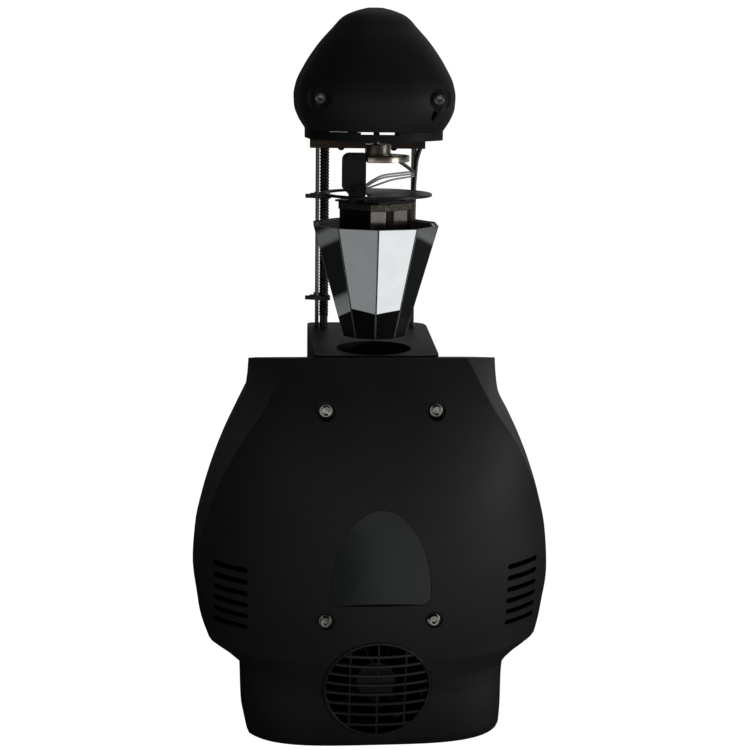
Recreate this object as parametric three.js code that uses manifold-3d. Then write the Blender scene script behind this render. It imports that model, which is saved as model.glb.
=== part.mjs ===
// A barrel mirror scanner light: a moulded housing with lamp, wheels and fan, and above it, between two
// side bars, a ten-sided mirror barrel that spins below a pan and tilt carriage hung from a hooded cap.
// Millimetres, +Z up, the front faces -Y, the origin is at floor level under the middle of the housing.
import * as THREE from "three";
import { mergeVertices } from "three/addons/utils/BufferGeometryUtils.js";
import Module from "manifold-3d";

const wasm = await Module();
wasm.setup();

// Driving dimensions
const clearance = 0.3;
const overrun = 4;
const roundSides = 16;
const fineSides = 32;
const wellSides = 24;
const smallSides = 10;
const cornerSteps = 3;
const topSteps = 5;

const feet = { radius: 14, height: 6, chamfer: 1.5, sideInset: 43.57, frontInset: 30.62, rearInset: 61 };
const basePan = { sheet: 2, inset: 3, rimHeight: 4.4, ventRadius: 4, ventPitch: 18, ventCount: 5 };

// Shares: rise over the height, half width, front reach, rear reach, crease and spread over the half width.
const housing = {
  halfWidth: 185,
  frontReach: 150.5,
  rearReach: 150,
  base: 4,
  height: 396,
  wall: 3,
  sideShare: 0.12,
  topDrop: 20,
  topFall: THREE.MathUtils.degToRad(10.8),
  faceSteps: 4,
  rearCreaseShare: 0.93,
  rearSpreadShare: 1.04,
  frontFullness: 2.3,
  footFullness: 3.6,
  rearFullness: 4,
  rowShares: [
    [0, 0.722, 0.735, 0.94, 0.955, 1.03],
    [0.02, 0.735, 0.765, 0.955, 0.955, 1.03],
    [0.14, 0.744, 0.792, 0.969, 0.955, 1.03],
    [0.178, 0.752, 0.822, 0.982, 0.955, 1.03],
    [0.21, 0.826, 0.847, 0.99, 0.955, 1.03],
    [0.25, 0.946, 0.877, 0.996, 0.955, 1.03],
    [0.34, 0.982, 0.931, 1, 0.955, 1.03],
    [0.418, 1, 0.965, 1, 0.955, 1.03],
    [0.506, 0.987, 0.993, 1, 0.955, 1.03],
    [0.59, 0.947, 1, 1, 0.953, 1.055],
    [0.672, 0.893, 0.987, 1, 0.945, 1.12],
    [0.75, 0.828, 0.95, 1, 0.925, 1.22],
    [0.815, 0.762, 0.903, 1, 0.9, 1.32],
    [0.876, 0.7, 0.842, 0.985, 0.85, 1.4],
    [0.94, 0.685, 0.745, 0.96, 0.76, 1.42],
    [1, 0.68, 0.63, 0.93, 0.67, 1.43],
  ],
};

const shellScrew = {
  spanX: 105.6,
  upperDrop: 28,
  aboveFan: 17,
  recessRadius: 9,
  recessDepth: 4.5,
  bossRadius: 11,
  bossLength: 5,
  headRadius: 5,
  headHeight: 5,
  socketRadius: 2.6,
  socketDepth: 2.6,
  washerRadius: 6.3,
  washerHeight: 1.4,
  shaftRadius: 3,
  shaftLength: 15,
  slotWidth: 5,
  slotLength: 14,
  slotAngle: THREE.MathUtils.degToRad(-26),
};

const grille = {
  centreDrop: 0.5,
  radius: 54,
  rimWidth: 3,
  proud: 1,
  depth: 3,
  barCount: 8,
  barPitch: 11.2,
  barHeight: 3,
  ribCount: 3,
  ribPitch: 27.5,
  ribWidth: 2,
};
const fan = {
  side: 119,
  depth: 25,
  boreWall: 3.5,
  cornerRadius: 8,
  frontGap: 3.024,
  hubRadius: 20,
  bladeCount: 9,
  bladeThickness: 1.6,
  bladeTipGap: 1.2,
  bladeRoot: 2,
  bladePitch: THREE.MathUtils.degToRad(38),
  strutWidth: 5,
  strutDepth: 3,
  strutCount: 4,
};
const sideSlot = { count: 6, pitch: 12.3, height: 5.4, length: 34, sideInset: 40.5, rise: 158 };
const badge = {
  halfWidth: 49,
  aboveScrews: 17,
  height: 98,
  shoulderHeight: 10,
  cornerRadius: 9,
  recessDepth: 2.2,
  thickness: 1.4,
  arcSteps: 10,
};

const turret = {
  barMargin: 10,
  flare: 8,
  wellMargin: 4,
  rearSetback: 17,
  rise: 14,
  height: 43.7,
  wall: 3,
  frontCorner: 10,
  rearCorner: 20,
  wellRadius: 38,
  wellDepth: 22,
  wellWall: 2.5,
};
const lens = { wellGap: 3, ledge: 4, edge: 4, crown: 11, arcSteps: 3 };

const sideBar = { spanX: 104, thickness: 3, depth: 30, rearGap: 2 };
const crossbar = {
  overhang: 9,
  depth: 12,
  height: 9,
  drop: 5.5,
  boltRadius: 4,
  boltHeight: 2.4,
  boltSpan: 56,
};
const tray = {
  rise: 208.5,
  floor: 2.5,
  rimHeight: 8.4,
  rimWall: 3,
  notchWidth: 36,
  notchDepth: 2,
  backOpeningWidth: 84,
  backOpeningSetback: 50,
  postWidth: 10,
  postDepth: 9,
  pillarRadius: 3.5,
  shaftHole: 4,
  gasketGap: 0.3,
};

// Shares: rise, half width, front reach, rear reach, crease and spread over the half width.
const cap = {
  halfWidth: 80.5,
  frontReach: 92,
  rearMargin: 8,
  centreSetback: 38,
  height: 118.6,
  wall: 2.5,
  sideShare: 0.1,
  faceSteps: 4,
  frontFullness: 2.5,
  footFullness: 2.5,
  rearFullness: 7,
  rearCreaseShare: 0.95,
  rearSpreadShare: 1.03,
  screwInset: 23.5,
  screwRise: 40.5,
  screwRecessRadius: 10,
  slotAngle: THREE.MathUtils.degToRad(191),
  rowShares: [
    [0, 0.858, 0.86, 0.95, 0.95, 1.03],
    [0.1, 0.947, 0.94, 0.985, 0.95, 1.03],
    [0.19, 0.993, 0.985, 1, 0.95, 1.03],
    [0.28, 1, 1, 1, 0.95, 1.03],
    [0.38, 0.973, 0.983, 0.983, 0.95, 1.03],
    [0.52, 0.875, 0.905, 0.905, 0.95, 1.03],
    [0.71, 0.687, 0.735, 0.735, 0.95, 1.03],
    [0.835, 0.522, 0.575, 0.575, 0.95, 1.03],
    [0.93, 0.385, 0.43, 0.42, 0.95, 1.03],
    [0.98, 0.215, 0.25, 0.24, 0.95, 1.03],
    [1, 0.1, 0.12, 0.11, 0.95, 1.03],
  ],
};

const motor = { side: 57, chamfer: 5, endCap: 8, endInset: 0.8 };
const panMotor = { length: 41, rise: 10.1, pilotRadius: 19, pilotHeight: 1.4 };
const panHub = { shaftRadius: 3, radius: 14.5, topDrop: 4.5, discDrop: 15, discRadius: 33, discThickness: 6 };
const panArm = {
  setback: 10.8,
  width: 22.2,
  topDrop: 13.5,
  depth: 30,
  topCorner: 7,
  chamferX: 9,
  chamferZ: 9,
  nearChamferX: 3.2,
  nearChamferZ: 3,
  wall: 4,
};
const tilt = {
  pivotInset: 8.2,
  pivotDrop: 49.5,
  pinRadius: 2.5,
  pinHeadRadius: 4.5,
  pinHead: 2,
  earWidth: 14,
  earThickness: 3,
  plateDrop: 9.2,
  plateThickness: 2,
};
const barrelMotor = { length: 50 };
const ring = {
  outerRadius: 56,
  innerRadius: 48,
  thickness: 2.5,
  rise: 4.2,
  webInnerX: 22,
  webHalfAngle: THREE.MathUtils.degToRad(58),
  webSteps: 12,
  legRadius: 2.5,
  legX: 28,
  legSpread: 16,
};
const barrel = {
  sides: 10,
  rimRadius: 65,
  footRadius: 32.7,
  rimDrop: 21.5,
  footRise: 14,
  glass: 2,
  glassGap: 0.5,
  wall: 2.5,
  floor: 3,
  footHole: 9,
  webDrop: 40,
  webThickness: 3,
  hubRadius: 9,
  spindleRadius: 3.2,
  lip: 1,
  phase: THREE.MathUtils.degToRad(-2),
};

const hose = {
  outerRadius: 5.2,
  rootRadius: 4.3,
  boreRadius: 3.3,
  ribPitch: 3.3,
  ringPoints: 8,
  gapToBar: 0.5,
  behindFront: 6,
  boreEvery: 8,
};
const cableTie = {
  upperDrop: 68.5,
  lowerRise: 30,
  height: 4.6,
  strap: 1.3,
  headSize: 5.5,
  tailLength: 6,
  tailThickness: 1.3,
  corner: 2,
  cornerShares: [0.4, 1, 1, 0.4, 0.4],
};

// Shares of the way from the crossbar's end to the arm, across, back and down.
const lead = {
  radius: 2.6,
  sides: 8,
  steps: 26,
  startGap: 1,
  endGap: 0.7,
  startDrop: 0.5,
  endDrop: 41.5,
  endSetback: 7.6,
  routeShares: [
    [0, 0, 0],
    [0.003, 0, 0.317],
    [0.088, -0.01, 0.659],
    [0.195, 0, 0.976],
    [0.329, 0.192, 0.878],
    [0.543, 0.479, 0.707],
    [0.718, 0.785, 0.805],
    [0.851, 0.987, 0.976],
    [1, 1, 1],
  ],
};

const chassis = {
  sheet: 2,
  fanGap: 4,
  frontReach: 58,
  rearSetback: 50,
  windowMargin: 24,
  windowShare: 0.24,
  fanPlateRise: 14,
  lampShelfRise: 83.4,
  reflectorShelfRise: 94,
  wheelGap: 4.6,
  ledgeWidth: 8,
  lugWidth: 15,
  lugHeight: 13,
  beamHole: 34,
};
const reflector = {
  rimRadius: 46,
  height: 68.3,
  flange: 4,
  flangeThickness: 2,
  neckRadius: 13,
  wall: 2,
  bulgeShare: 0.8,
  arcSteps: 6,
};
const lamp = {
  baseRadius: 10,
  baseHeight: 34,
  envelopeRadius: 7,
  envelopeHeight: 46,
  envelopeSteps: 8,
  stemRadius: 4,
  stemHeight: 6,
};
const effects = {
  rise: 64,
  sheet: 2,
  canRadius: 18,
  canHeight: 20,
  frontReach: 42,
  rearReach: 98,
  holeRadius: 21,
};
const wheel = { radius: 54, sheet: 1.5, holes: 8, holeRadius: 9, holeCircle: 42, hubRadius: 6, hubHeight: 3 };
const ballast = { width: 66, depth: 92, height: 56, rearInset: 14, plates: 3, plateGroove: 3, corner: 5 };

const panel = {
  width: 128,
  height: 124,
  baseZ: 92,
  sheet: 2.5,
  lap: 6,
  setback: 5.8,
  inletX: -32,
  inletRise: 26,
  socketX: 26,
  socketRise: 30,
  buttonRise: 94,
};
const button = {
  count: 4,
  width: 11,
  height: 7,
  length: 7,
  pitch: 19,
  flange: 1.5,
  flangeThickness: 1.2,
  middleX: 12,
};
const inlet = {
  width: 27,
  height: 20,
  depth: 22,
  flange: 3,
  flangeThickness: 2,
  wall: 2,
  pinWidth: 2,
  pinHeight: 5,
  pinPitch: 7,
  pinLength: 12,
};
const socket = {
  pitch: 30,
  radius: 11.5,
  plateWidth: 58,
  plateHeight: 28,
  plateThickness: 1.6,
  depth: 20,
  wall: 1.8,
  pinRadius: 1.2,
  pinCircle: 4.5,
  pinLength: 12,
};

// Places that follow from the sizes, from the floor up and from the front back
const panZ = feet.height + clearance;
const fanBaseZ = panZ + basePan.rimHeight + clearance;
const fanInnerY = -reachAt(housing, -1, housingRow(fanBaseZ), fan.side / 2, housing.wall);
const fanFrontY = fanInnerY + fan.frontGap;
const chassisFrontY = fanFrontY + fan.depth + chassis.fanGap;
const axisY = chassisFrontY + chassis.frontReach;
const fanMiddleZ = fanBaseZ + fan.side / 2;
const fanRadius = fan.side / 2 - fan.boreWall;
const grilleZ = fanMiddleZ - grille.centreDrop;
const housingTopZ = housing.base + housing.height - housing.topDrop;
const upperScrewZ = housingTopZ - shellScrew.upperDrop;
const lowerScrewZ = fanBaseZ + fan.side + shellScrew.aboveFan;
const badgeZ = lowerScrewZ + badge.aboveScrews;
const badgeShoulderZ = badgeZ + badge.shoulderHeight;
const deckZ = housingTopZ + turret.rise;
const turretBaseZ = deckZ - turret.height;
const turretFrontY = axisY - turret.wellRadius - turret.wellMargin;
const turretRearY = housing.rearReach - turret.rearSetback;
const turretSideX = sideBar.spanX / 2 + turret.barMargin;
const wellFloorZ = deckZ - turret.wellDepth;
const lensRadius = turret.wellRadius - lens.wellGap;
const barRearY = turretRearY - turret.wall - sideBar.rearGap;
const barFrontY = barRearY - sideBar.depth;
const trayZ = deckZ + tray.rise;
const crossbarTopZ = trayZ - crossbar.drop;
const crossbarY = barFrontY - clearance - crossbar.depth / 2;
const crossbarLength = sideBar.spanX + crossbar.overhang * 2;
const capBaseZ = trayZ + tray.rimHeight + tray.gasketGap;
const capScrewX = cap.halfWidth - cap.screwInset;
const capScrewZ = trayZ + cap.screwRise;
const capForm = {
  ...cap,
  centreY: axisY + cap.centreSetback,
  rearReach: barRearY + cap.rearMargin - axisY - cap.centreSetback,
};
const panMotorZ = trayZ + panMotor.rise;
const hubTopZ = trayZ - panHub.topDrop;
const discTopZ = trayZ - panHub.discDrop;
const discBaseZ = discTopZ - panHub.discThickness;
const armRightX = -panArm.setback;
const armLeftX = armRightX - panArm.width;
const armTopZ = trayZ - panArm.topDrop;
const pivotX = armRightX - tilt.pivotInset;
const pivotZ = trayZ - tilt.pivotDrop;
const armBaseZ = pivotZ - tilt.earWidth / 2;
const plateTopZ = pivotZ - tilt.plateDrop;
const plateBaseZ = plateTopZ - tilt.plateThickness;
const ringZ = plateTopZ + ring.rise;
const barrelMotorTop = plateBaseZ - clearance;
const barrelMotorZ = barrelMotorTop - barrelMotor.length;
const rimZ = barrelMotorTop - barrel.rimDrop;
const footZ = deckZ + barrel.footRise;
const webZ = rimZ - barrel.webDrop;
const chassisBaseZ = panZ + basePan.sheet + clearance;
const chassisTopZ = turretBaseZ - clearance;
const chassisRearY = housing.rearReach - chassis.rearSetback;
const chassisWidth = (wheel.radius + chassis.wheelGap) * 2;
const lampShelfZ = chassisBaseZ + chassis.lampShelfRise;
const reflectorShelfZ = lampShelfZ + chassis.reflectorShelfRise;
const reflectorRimZ = reflectorShelfZ + chassis.sheet + clearance + reflector.flangeThickness;
const effectsZ = reflectorShelfZ + effects.rise;
const wheelY = axisY + wheel.holeCircle;
const ballastY = chassisRearY - ballast.rearInset - ballast.depth / 2;
const panelRearY = housing.rearReach - panel.setback;
const panelFrontY = panelRearY - panel.sheet;
const inletZ = panel.baseZ + panel.inletRise;
const socketZ = panel.baseZ + panel.socketRise;
const buttonZ = panel.baseZ + panel.buttonRise;

// Looks
const looks = {
  blackPlastic: { color: "#1d1d1e", roughness: 0.55, metalness: 0 },
  blackMetal: { color: "#202122", roughness: 0.45, metalness: 0.6 },
  blackRubber: { color: "#161616", roughness: 0.85, metalness: 0 },
  badgeInsert: { color: "#20262b", roughness: 0.15, metalness: 0 },
  steel: { color: "#b9babb", roughness: 0.28, metalness: 1 },
  darkSteel: { color: "#4a4540", roughness: 0.4, metalness: 0.9 },
  mirror: { color: "#e8ecee", roughness: 0.03, metalness: 1 },
  glass: { color: "#dfe8ec", roughness: 0.05, metalness: 0 },
  zinc: { color: "#9a9c9c", roughness: 0.4, metalness: 0.9 },
  ceramic: { color: "#e6e1d6", roughness: 0.5, metalness: 0 },
  greyWire: { color: "#8f8f8d", roughness: 0.6, metalness: 0 },
};

// Solids and booleans
function solidFrom(geometry) {
  const bare = geometry.clone();
  bare.deleteAttribute("normal");
  bare.deleteAttribute("uv");
  const merged = mergeVertices(bare, 1e-4);
  return new wasm.Manifold(
    new wasm.Mesh({
      numProp: 3,
      vertProperties: new Float32Array(merged.attributes.position.array),
      triVerts: new Uint32Array(merged.index.array),
    }),
  );
}

function geometryFrom(solid) {
  const mesh = solid.getMesh();
  const geometry = new THREE.BufferGeometry();
  geometry.setAttribute("position", new THREE.BufferAttribute(mesh.vertProperties, 3));
  geometry.setIndex(new THREE.BufferAttribute(mesh.triVerts, 1));
  const flat = geometry.toNonIndexed();
  flat.computeVertexNormals();
  return flat;
}

const join = (...solids) => solids.reduce((sum, solid) => sum.add(solid));
const cut = (solid, ...tools) => tools.reduce((rest, tool) => rest.subtract(tool), solid);
const moved = (solid, x, y, z) => solid.translate([x, y, z]);

function box(width, depth, height, middleX, middleY, baseZ) {
  return moved(solidFrom(new THREE.BoxGeometry(width, depth, height)), middleX, middleY, baseZ + height / 2);
}

function rodUp(radius, length, x, y, baseZ, sides = roundSides) {
  const geometry = new THREE.CylinderGeometry(radius, radius, length, sides).rotateX(Math.PI / 2);
  return moved(solidFrom(geometry), x, y, baseZ + length / 2);
}

function rodBack(radius, length, x, frontY, z, sides = roundSides) {
  const geometry = new THREE.CylinderGeometry(radius, radius, length, sides);
  return moved(solidFrom(geometry), x, frontY + length / 2, z);
}

function turned(points, sides = fineSides) {
  const profile = points.map(([radius, height]) => new THREE.Vector2(radius, height));
  return solidFrom(new THREE.LatheGeometry(profile, sides).rotateX(Math.PI / 2));
}

function slab(outline, height, baseZ) {
  const shape = new THREE.Shape(outline);
  const geometry = new THREE.ExtrudeGeometry(shape, { depth: height, bevelEnabled: false });
  return moved(solidFrom(geometry), 0, 0, baseZ);
}

// An outline drawn in X and Z, pushed back along Y
function slabBack(outline, depth, frontY) {
  const shape = new THREE.Shape(outline);
  const geometry = new THREE.ExtrudeGeometry(shape, { depth, bevelEnabled: false });
  return moved(solidFrom(geometry.rotateX(Math.PI / 2)), 0, frontY + depth, 0);
}

// A convex outline, anticlockwise, with each edge moved out by a distance
function offsetOutline(points, distance) {
  return points.map((point, index) => {
    const before = points[(index + points.length - 1) % points.length];
    const after = points[(index + 1) % points.length];
    const into = point.clone().sub(before).normalize();
    const out = after.clone().sub(point).normalize();
    const spread = 1 + into.dot(out);
    const normalSum = new THREE.Vector2(into.y + out.y, -into.x - out.x);
    return point.clone().addScaledVector(normalSum, distance / spread);
  });
}

// The same outline with a round at each corner
function roundedOutline(points, radii) {
  const rounded = [];
  points.forEach((corner, index) => {
    const before = points[(index + points.length - 1) % points.length];
    const after = points[(index + 1) % points.length];
    const toBefore = before.clone().sub(corner).normalize();
    const toAfter = after.clone().sub(corner).normalize();
    const halfAngle = Math.acos(THREE.MathUtils.clamp(toBefore.dot(toAfter), -1, 1)) / 2;
    const setback = radii[index] / Math.tan(halfAngle);
    const start = corner.clone().addScaledVector(toBefore, setback);
    const end = corner.clone().addScaledVector(toAfter, setback);
    const arc = new THREE.QuadraticBezierCurve(start, corner, end);
    rounded.push(...arc.getPoints(cornerSteps));
  });
  return rounded;
}

// An upright strip with a round top, drawn in X and Z
function archOutline(width, baseZ, topZ, middleX) {
  const radius = width / 2;
  const foot = [new THREE.Vector2(middleX - radius, baseZ), new THREE.Vector2(middleX + radius, baseZ)];
  const arc = new THREE.EllipseCurve(middleX, topZ - radius, radius, radius, 0, Math.PI);
  return [...foot, ...arc.getPoints(smallSides)];
}

// Moulded forms: half plans stacked in rows
function rowAt(form, row) {
  const [rise, width, front, rear, crease, spread] = form.rowShares[row];
  return { rise, width, front, rear, crease, spread };
}

function rowBetween(form, rise) {
  const rows = form.rowShares;
  const upper = Math.max(1, rows.findIndex((entry) => entry[0] >= rise));
  const low = rows[upper - 1];
  const high = rows[upper];
  const part = (rise - low[0]) / (high[0] - low[0]);
  const mixed = low.map((share, index) => share + (high[index] - share) * part);
  const [, width, front, rear, crease, spread] = mixed;
  return { rise, width, front, rear, crease, spread };
}

function fullnessAt(form, side, rise) {
  if (side > 0) return form.rearFullness;
  const foot = form.rowShares[2][0];
  const settle = THREE.MathUtils.smoothstep(rise, foot / 2, foot * 2);
  return THREE.MathUtils.lerp(form.footFullness, form.frontFullness, settle);
}

// How far the face stands from the seam at a place across it: side -1 is the front and 1 the rear
function reachAt(form, side, row, x, inset) {
  const halfWidth = form.halfWidth * row.width - inset;
  const depthShare = side < 0 ? row.front : row.rear;
  const fullReach = side < 0 ? form.frontReach : form.rearReach;
  const spreadShare = side < 0 ? row.spread : form.rearSpreadShare;
  const fullness = fullnessAt(form, side, row.rise);
  const across = Math.min(1, Math.abs(x) / (halfWidth * spreadShare));
  return (fullReach * depthShare - inset) * (1 - across ** fullness) ** (1 / fullness);
}

function halfPlan(form, side, row, inset, seam) {
  const halfWidth = form.halfWidth * row.width - inset;
  const creaseShare = side < 0 ? row.crease : form.rearCreaseShare;
  const crease = halfWidth * creaseShare;
  const centreY = form.centreY ?? 0;
  const reach = (x) => side * reachAt(form, side, row, x, inset);
  const right = [new THREE.Vector2(halfWidth, seam)];
  right.push(new THREE.Vector2(halfWidth, reach(0) * form.sideShare));
  for (let step = 0; step < form.faceSteps; step += 1) {
    const x = crease * Math.cos((step / form.faceSteps) * (Math.PI / 2));
    right.push(new THREE.Vector2(x, reach(x)));
  }
  const left = right.map((point) => new THREE.Vector2(-point.x, point.y)).reverse();
  const plan = [...right, new THREE.Vector2(0, reach(0)), ...left];
  plan.forEach((point) => point.setY(point.y + centreY));
  return side < 0 ? plan.reverse() : plan;
}

// A closed solid through plans of equal count, anticlockwise from above, one for each height
function stacked(plans, heights) {
  const count = plans[0].length;
  const positions = [];
  plans.forEach((plan, row) => plan.forEach((point) => positions.push(point.x, point.y, heights[row])));
  const faces = [];
  for (let row = 0; row + 1 < plans.length; row += 1) {
    for (let index = 0; index < count; index += 1) {
      const next = (index + 1) % count;
      const low = row * count;
      const high = low + count;
      faces.push(low + index, low + next, high + next);
      faces.push(low + index, high + next, high + index);
    }
  }
  const last = (plans.length - 1) * count;
  for (const [a, b, c] of THREE.ShapeUtils.triangulateShape(plans[0], [])) faces.push(a, c, b);
  for (const triangle of THREE.ShapeUtils.triangulateShape(plans.at(-1), [])) {
    faces.push(...triangle.map((corner) => last + corner));
  }
  const geometry = new THREE.BufferGeometry();
  geometry.setAttribute("position", new THREE.Float32BufferAttribute(positions, 3));
  geometry.setIndex(faces);
  return solidFrom(geometry);
}

function housingRow(z) {
  return rowBetween(housing, (z - housing.base) / housing.height);
}

const housingFrontY = (x, z) => -reachAt(housing, -1, housingRow(z), x, 0);

function housingHalf(side, inset, seam) {
  const rows = housing.rowShares.map((entry, index) => rowAt(housing, index));
  const plans = rows.map((row) => halfPlan(housing, side, row, inset, seam));
  const heights = rows.map((row) => housing.base + housing.height * row.rise);
  heights[0] -= inset > 0 ? overrun : 0;
  const body = stacked(plans, heights);
  return cut(body, skyAbove(housingTopZ - inset));
}

// All space above the housing's top, which falls towards the back
function skyAbove(height) {
  const size = housing.halfWidth * 3;
  const sky = new THREE.BoxGeometry(size, size, size).translate(0, 0, size / 2);
  return moved(solidFrom(sky.rotateX(-housing.topFall)), 0, 0, height);
}

// Housing shells
const shellScrewPlaces = [
  { name: "shell_screw_upper_left", x: -shellScrew.spanX / 2, z: upperScrewZ },
  { name: "shell_screw_upper_right", x: shellScrew.spanX / 2, z: upperScrewZ },
  { name: "shell_screw_lower_left", x: -shellScrew.spanX / 2, z: lowerScrewZ },
  { name: "shell_screw_lower_right", x: shellScrew.spanX / 2, z: lowerScrewZ },
];
const screwSeatY = (x, z) => housingFrontY(x, z) + shellScrew.recessDepth;

// Points of an arc from one angle through another, in equal steps
function arcPoints(middleX, middleZ, width, height, from, sweep, steps) {
  return Array.from({ length: steps + 1 }, (unused, step) => {
    const angle = from + (sweep * step) / steps;
    return new THREE.Vector2(middleX + width * Math.cos(angle), middleZ + height * Math.sin(angle));
  });
}

function slotOutline(length, height, middleX, middleZ) {
  const radius = height / 2;
  const reach = length / 2 - radius;
  return [
    ...arcPoints(middleX + reach, middleZ, radius, radius, -Math.PI / 2, Math.PI, cornerSteps),
    ...arcPoints(middleX - reach, middleZ, radius, radius, Math.PI / 2, Math.PI, cornerSteps),
  ];
}

function badgeOutline(inset) {
  const halfWidth = badge.halfWidth - inset;
  const corner = badge.cornerRadius - inset;
  const cornerZ = badgeZ + badge.cornerRadius;
  const archHeight = badge.height - badge.shoulderHeight - inset;
  return [
    ...arcPoints(halfWidth - corner, cornerZ, corner, corner, -Math.PI / 2, Math.PI / 2, cornerSteps),
    ...arcPoints(0, badgeShoulderZ, halfWidth, archHeight, 0, Math.PI, badge.arcSteps),
    ...arcPoints(corner - halfWidth, cornerZ, corner, corner, Math.PI, Math.PI / 2, cornerSteps),
  ];
}

// The part of a housing skin between two depths that an outline in X and Z takes out
function skinPiece(outlineSolid, outerInset, innerInset) {
  const near = housingHalf(-1, outerInset, 0);
  const far = housingHalf(-1, innerInset, overrun);
  return cut(near.intersect(outlineSolid), far);
}

function screwSlot(x, z, angle, depth) {
  const geometry = new THREE.BoxGeometry(shellScrew.slotWidth, depth, shellScrew.slotLength);
  geometry.translate(0, 0, shellScrew.slotLength / 2);
  geometry.rotateY(angle);
  return moved(solidFrom(geometry), x, 0, z);
}

function frontShell() {
  const reach = housing.frontReach + overrun;
  let shell = cut(housingHalf(-1, 0, -clearance / 2), housingHalf(-1, housing.wall, overrun));
  for (const { x, z } of shellScrewPlaces) {
    const lead = shellScrew.recessDepth / 2;
    const boss = rodBack(shellScrew.bossRadius, shellScrew.bossLength + lead, x, screwSeatY(x, z) - lead, z);
    const solidFront = housingHalf(-1, housing.wall / 2, 0);
    shell = join(shell, boss.intersect(solidFront));
  }
  for (const { x, z } of shellScrewPlaces) {
    const seatY = screwSeatY(x, z);
    const recess = rodBack(shellScrew.recessRadius, reach, x, seatY - reach, z);
    const hole = rodBack(shellScrew.shaftRadius + clearance, reach, x, seatY - overrun, z);
    shell = cut(shell, recess, hole);
  }
  const keyhole = shellScrewPlaces[1];
  const slotDepth = shellScrew.recessDepth * 2;
  const slotY = screwSeatY(keyhole.x, keyhole.z) - slotDepth;
  const slot = screwSlot(keyhole.x, keyhole.z, shellScrew.slotAngle, slotDepth);
  shell = cut(shell, moved(slot, 0, slotY, 0));
  shell = cut(shell, rodBack(grille.radius + clearance, reach, 0, -reach, grilleZ, fineSides));
  for (const side of [-1, 1]) {
    for (let index = 0; index < sideSlot.count; index += 1) {
      const x = side * (housing.halfWidth - sideSlot.sideInset);
      const z = housing.base + sideSlot.rise + (index - (sideSlot.count - 1) / 2) * sideSlot.pitch;
      const outline = slotOutline(sideSlot.length, sideSlot.height, x, z);
      shell = cut(shell, slabBack(outline, reach, -reach));
    }
  }
  shell = cut(shell, skinPiece(slabBack(badgeOutline(0), reach, -reach), -overrun, badge.recessDepth));
  return cut(shell, turretOpening());
}

function rearShell() {
  let shell = cut(housingHalf(1, 0, clearance / 2), housingHalf(1, housing.wall, -overrun));
  const width = panel.width - panel.lap * 2;
  const height = panel.height - panel.lap * 2;
  const window = box(width, housing.rearReach, height, 0, housing.rearReach, panel.baseZ + panel.lap);
  shell = cut(shell, window);
  return cut(shell, turretOpening());
}

function badgePlate() {
  const reach = housing.frontReach + overrun;
  const outline = slabBack(badgeOutline(clearance), reach, -reach);
  const near = badge.recessDepth - clearance - badge.thickness;
  return skinPiece(outline, near, badge.recessDepth - clearance);
}

function intakeGrille() {
  const reach = housing.frontReach + overrun;
  const disc = (radius) => rodBack(radius, reach, 0, -reach, grilleZ, fineSides);
  const rim = cut(disc(grille.radius), disc(grille.radius - grille.rimWidth));
  const parts = [skinPiece(rim, -grille.proud, grille.depth)];
  const inner = grille.radius - grille.rimWidth / 2;
  for (let index = 0; index < grille.barCount; index += 1) {
    const drop = (index - (grille.barCount - 1) / 2) * grille.barPitch;
    const length = 2 * Math.sqrt(inner ** 2 - drop ** 2);
    const barZ = grilleZ + drop - grille.barHeight / 2;
    const bar = box(length, reach, grille.barHeight, 0, -reach / 2, barZ);
    parts.push(skinPiece(bar, 0, grille.depth));
  }
  for (let index = 0; index < grille.ribCount; index += 1) {
    const x = (index - (grille.ribCount - 1) / 2) * grille.ribPitch;
    const length = 2 * Math.sqrt(inner ** 2 - x ** 2);
    const rib = box(grille.ribWidth, reach, length, x, -reach / 2, grilleZ - length / 2);
    parts.push(skinPiece(rib, grille.proud, grille.depth));
  }
  return join(...parts);
}

function shellScrewSolid() {
  const { washerRadius, washerHeight, headRadius, headHeight, socketRadius, socketDepth } = shellScrew;
  return turned(
    [
      [0, -shellScrew.shaftLength],
      [shellScrew.shaftRadius, -shellScrew.shaftLength],
      [shellScrew.shaftRadius, 0],
      [washerRadius, 0],
      [washerRadius, washerHeight],
      [headRadius, washerHeight],
      [headRadius, washerHeight + headHeight],
      [socketRadius, washerHeight + headHeight],
      [socketRadius, washerHeight + headHeight - socketDepth],
      [0, washerHeight + headHeight - socketDepth],
    ],
    smallSides,
  );
}

// Fan
const rotorDepth = fan.depth - fan.strutDepth - fan.bladeRoot - clearance;

function fanFrame() {
  const half = fan.side / 2;
  const corners = [[-1, -1], [1, -1], [1, 1], [-1, 1]].map(
    ([u, v]) => new THREE.Vector2(u * half, fanMiddleZ + v * half),
  );
  const outline = roundedOutline(corners, corners.map(() => fan.cornerRadius));
  const bore = rodBack(fanRadius, fan.depth * 2, 0, fanFrontY - fan.depth / 2, fanMiddleZ, wellSides);
  const parts = [cut(slabBack(outline, fan.depth, fanFrontY), bore)];
  const strutY = fanFrontY + fan.depth - fan.strutDepth;
  parts.push(rodBack(fan.hubRadius, fan.strutDepth, 0, strutY, fanMiddleZ));
  for (let index = 0; index < fan.strutCount; index += 1) {
    const strut = new THREE.BoxGeometry(fanRadius + fan.strutWidth / 2, fan.strutDepth, fan.strutWidth);
    strut.translate(fanRadius / 2 + fan.strutWidth / 4, 0, 0);
    strut.rotateY((Math.PI * 2 * (index + 0.5)) / fan.strutCount);
    parts.push(moved(solidFrom(strut), 0, strutY + fan.strutDepth / 2, fanMiddleZ));
  }
  return join(...parts);
}

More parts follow.
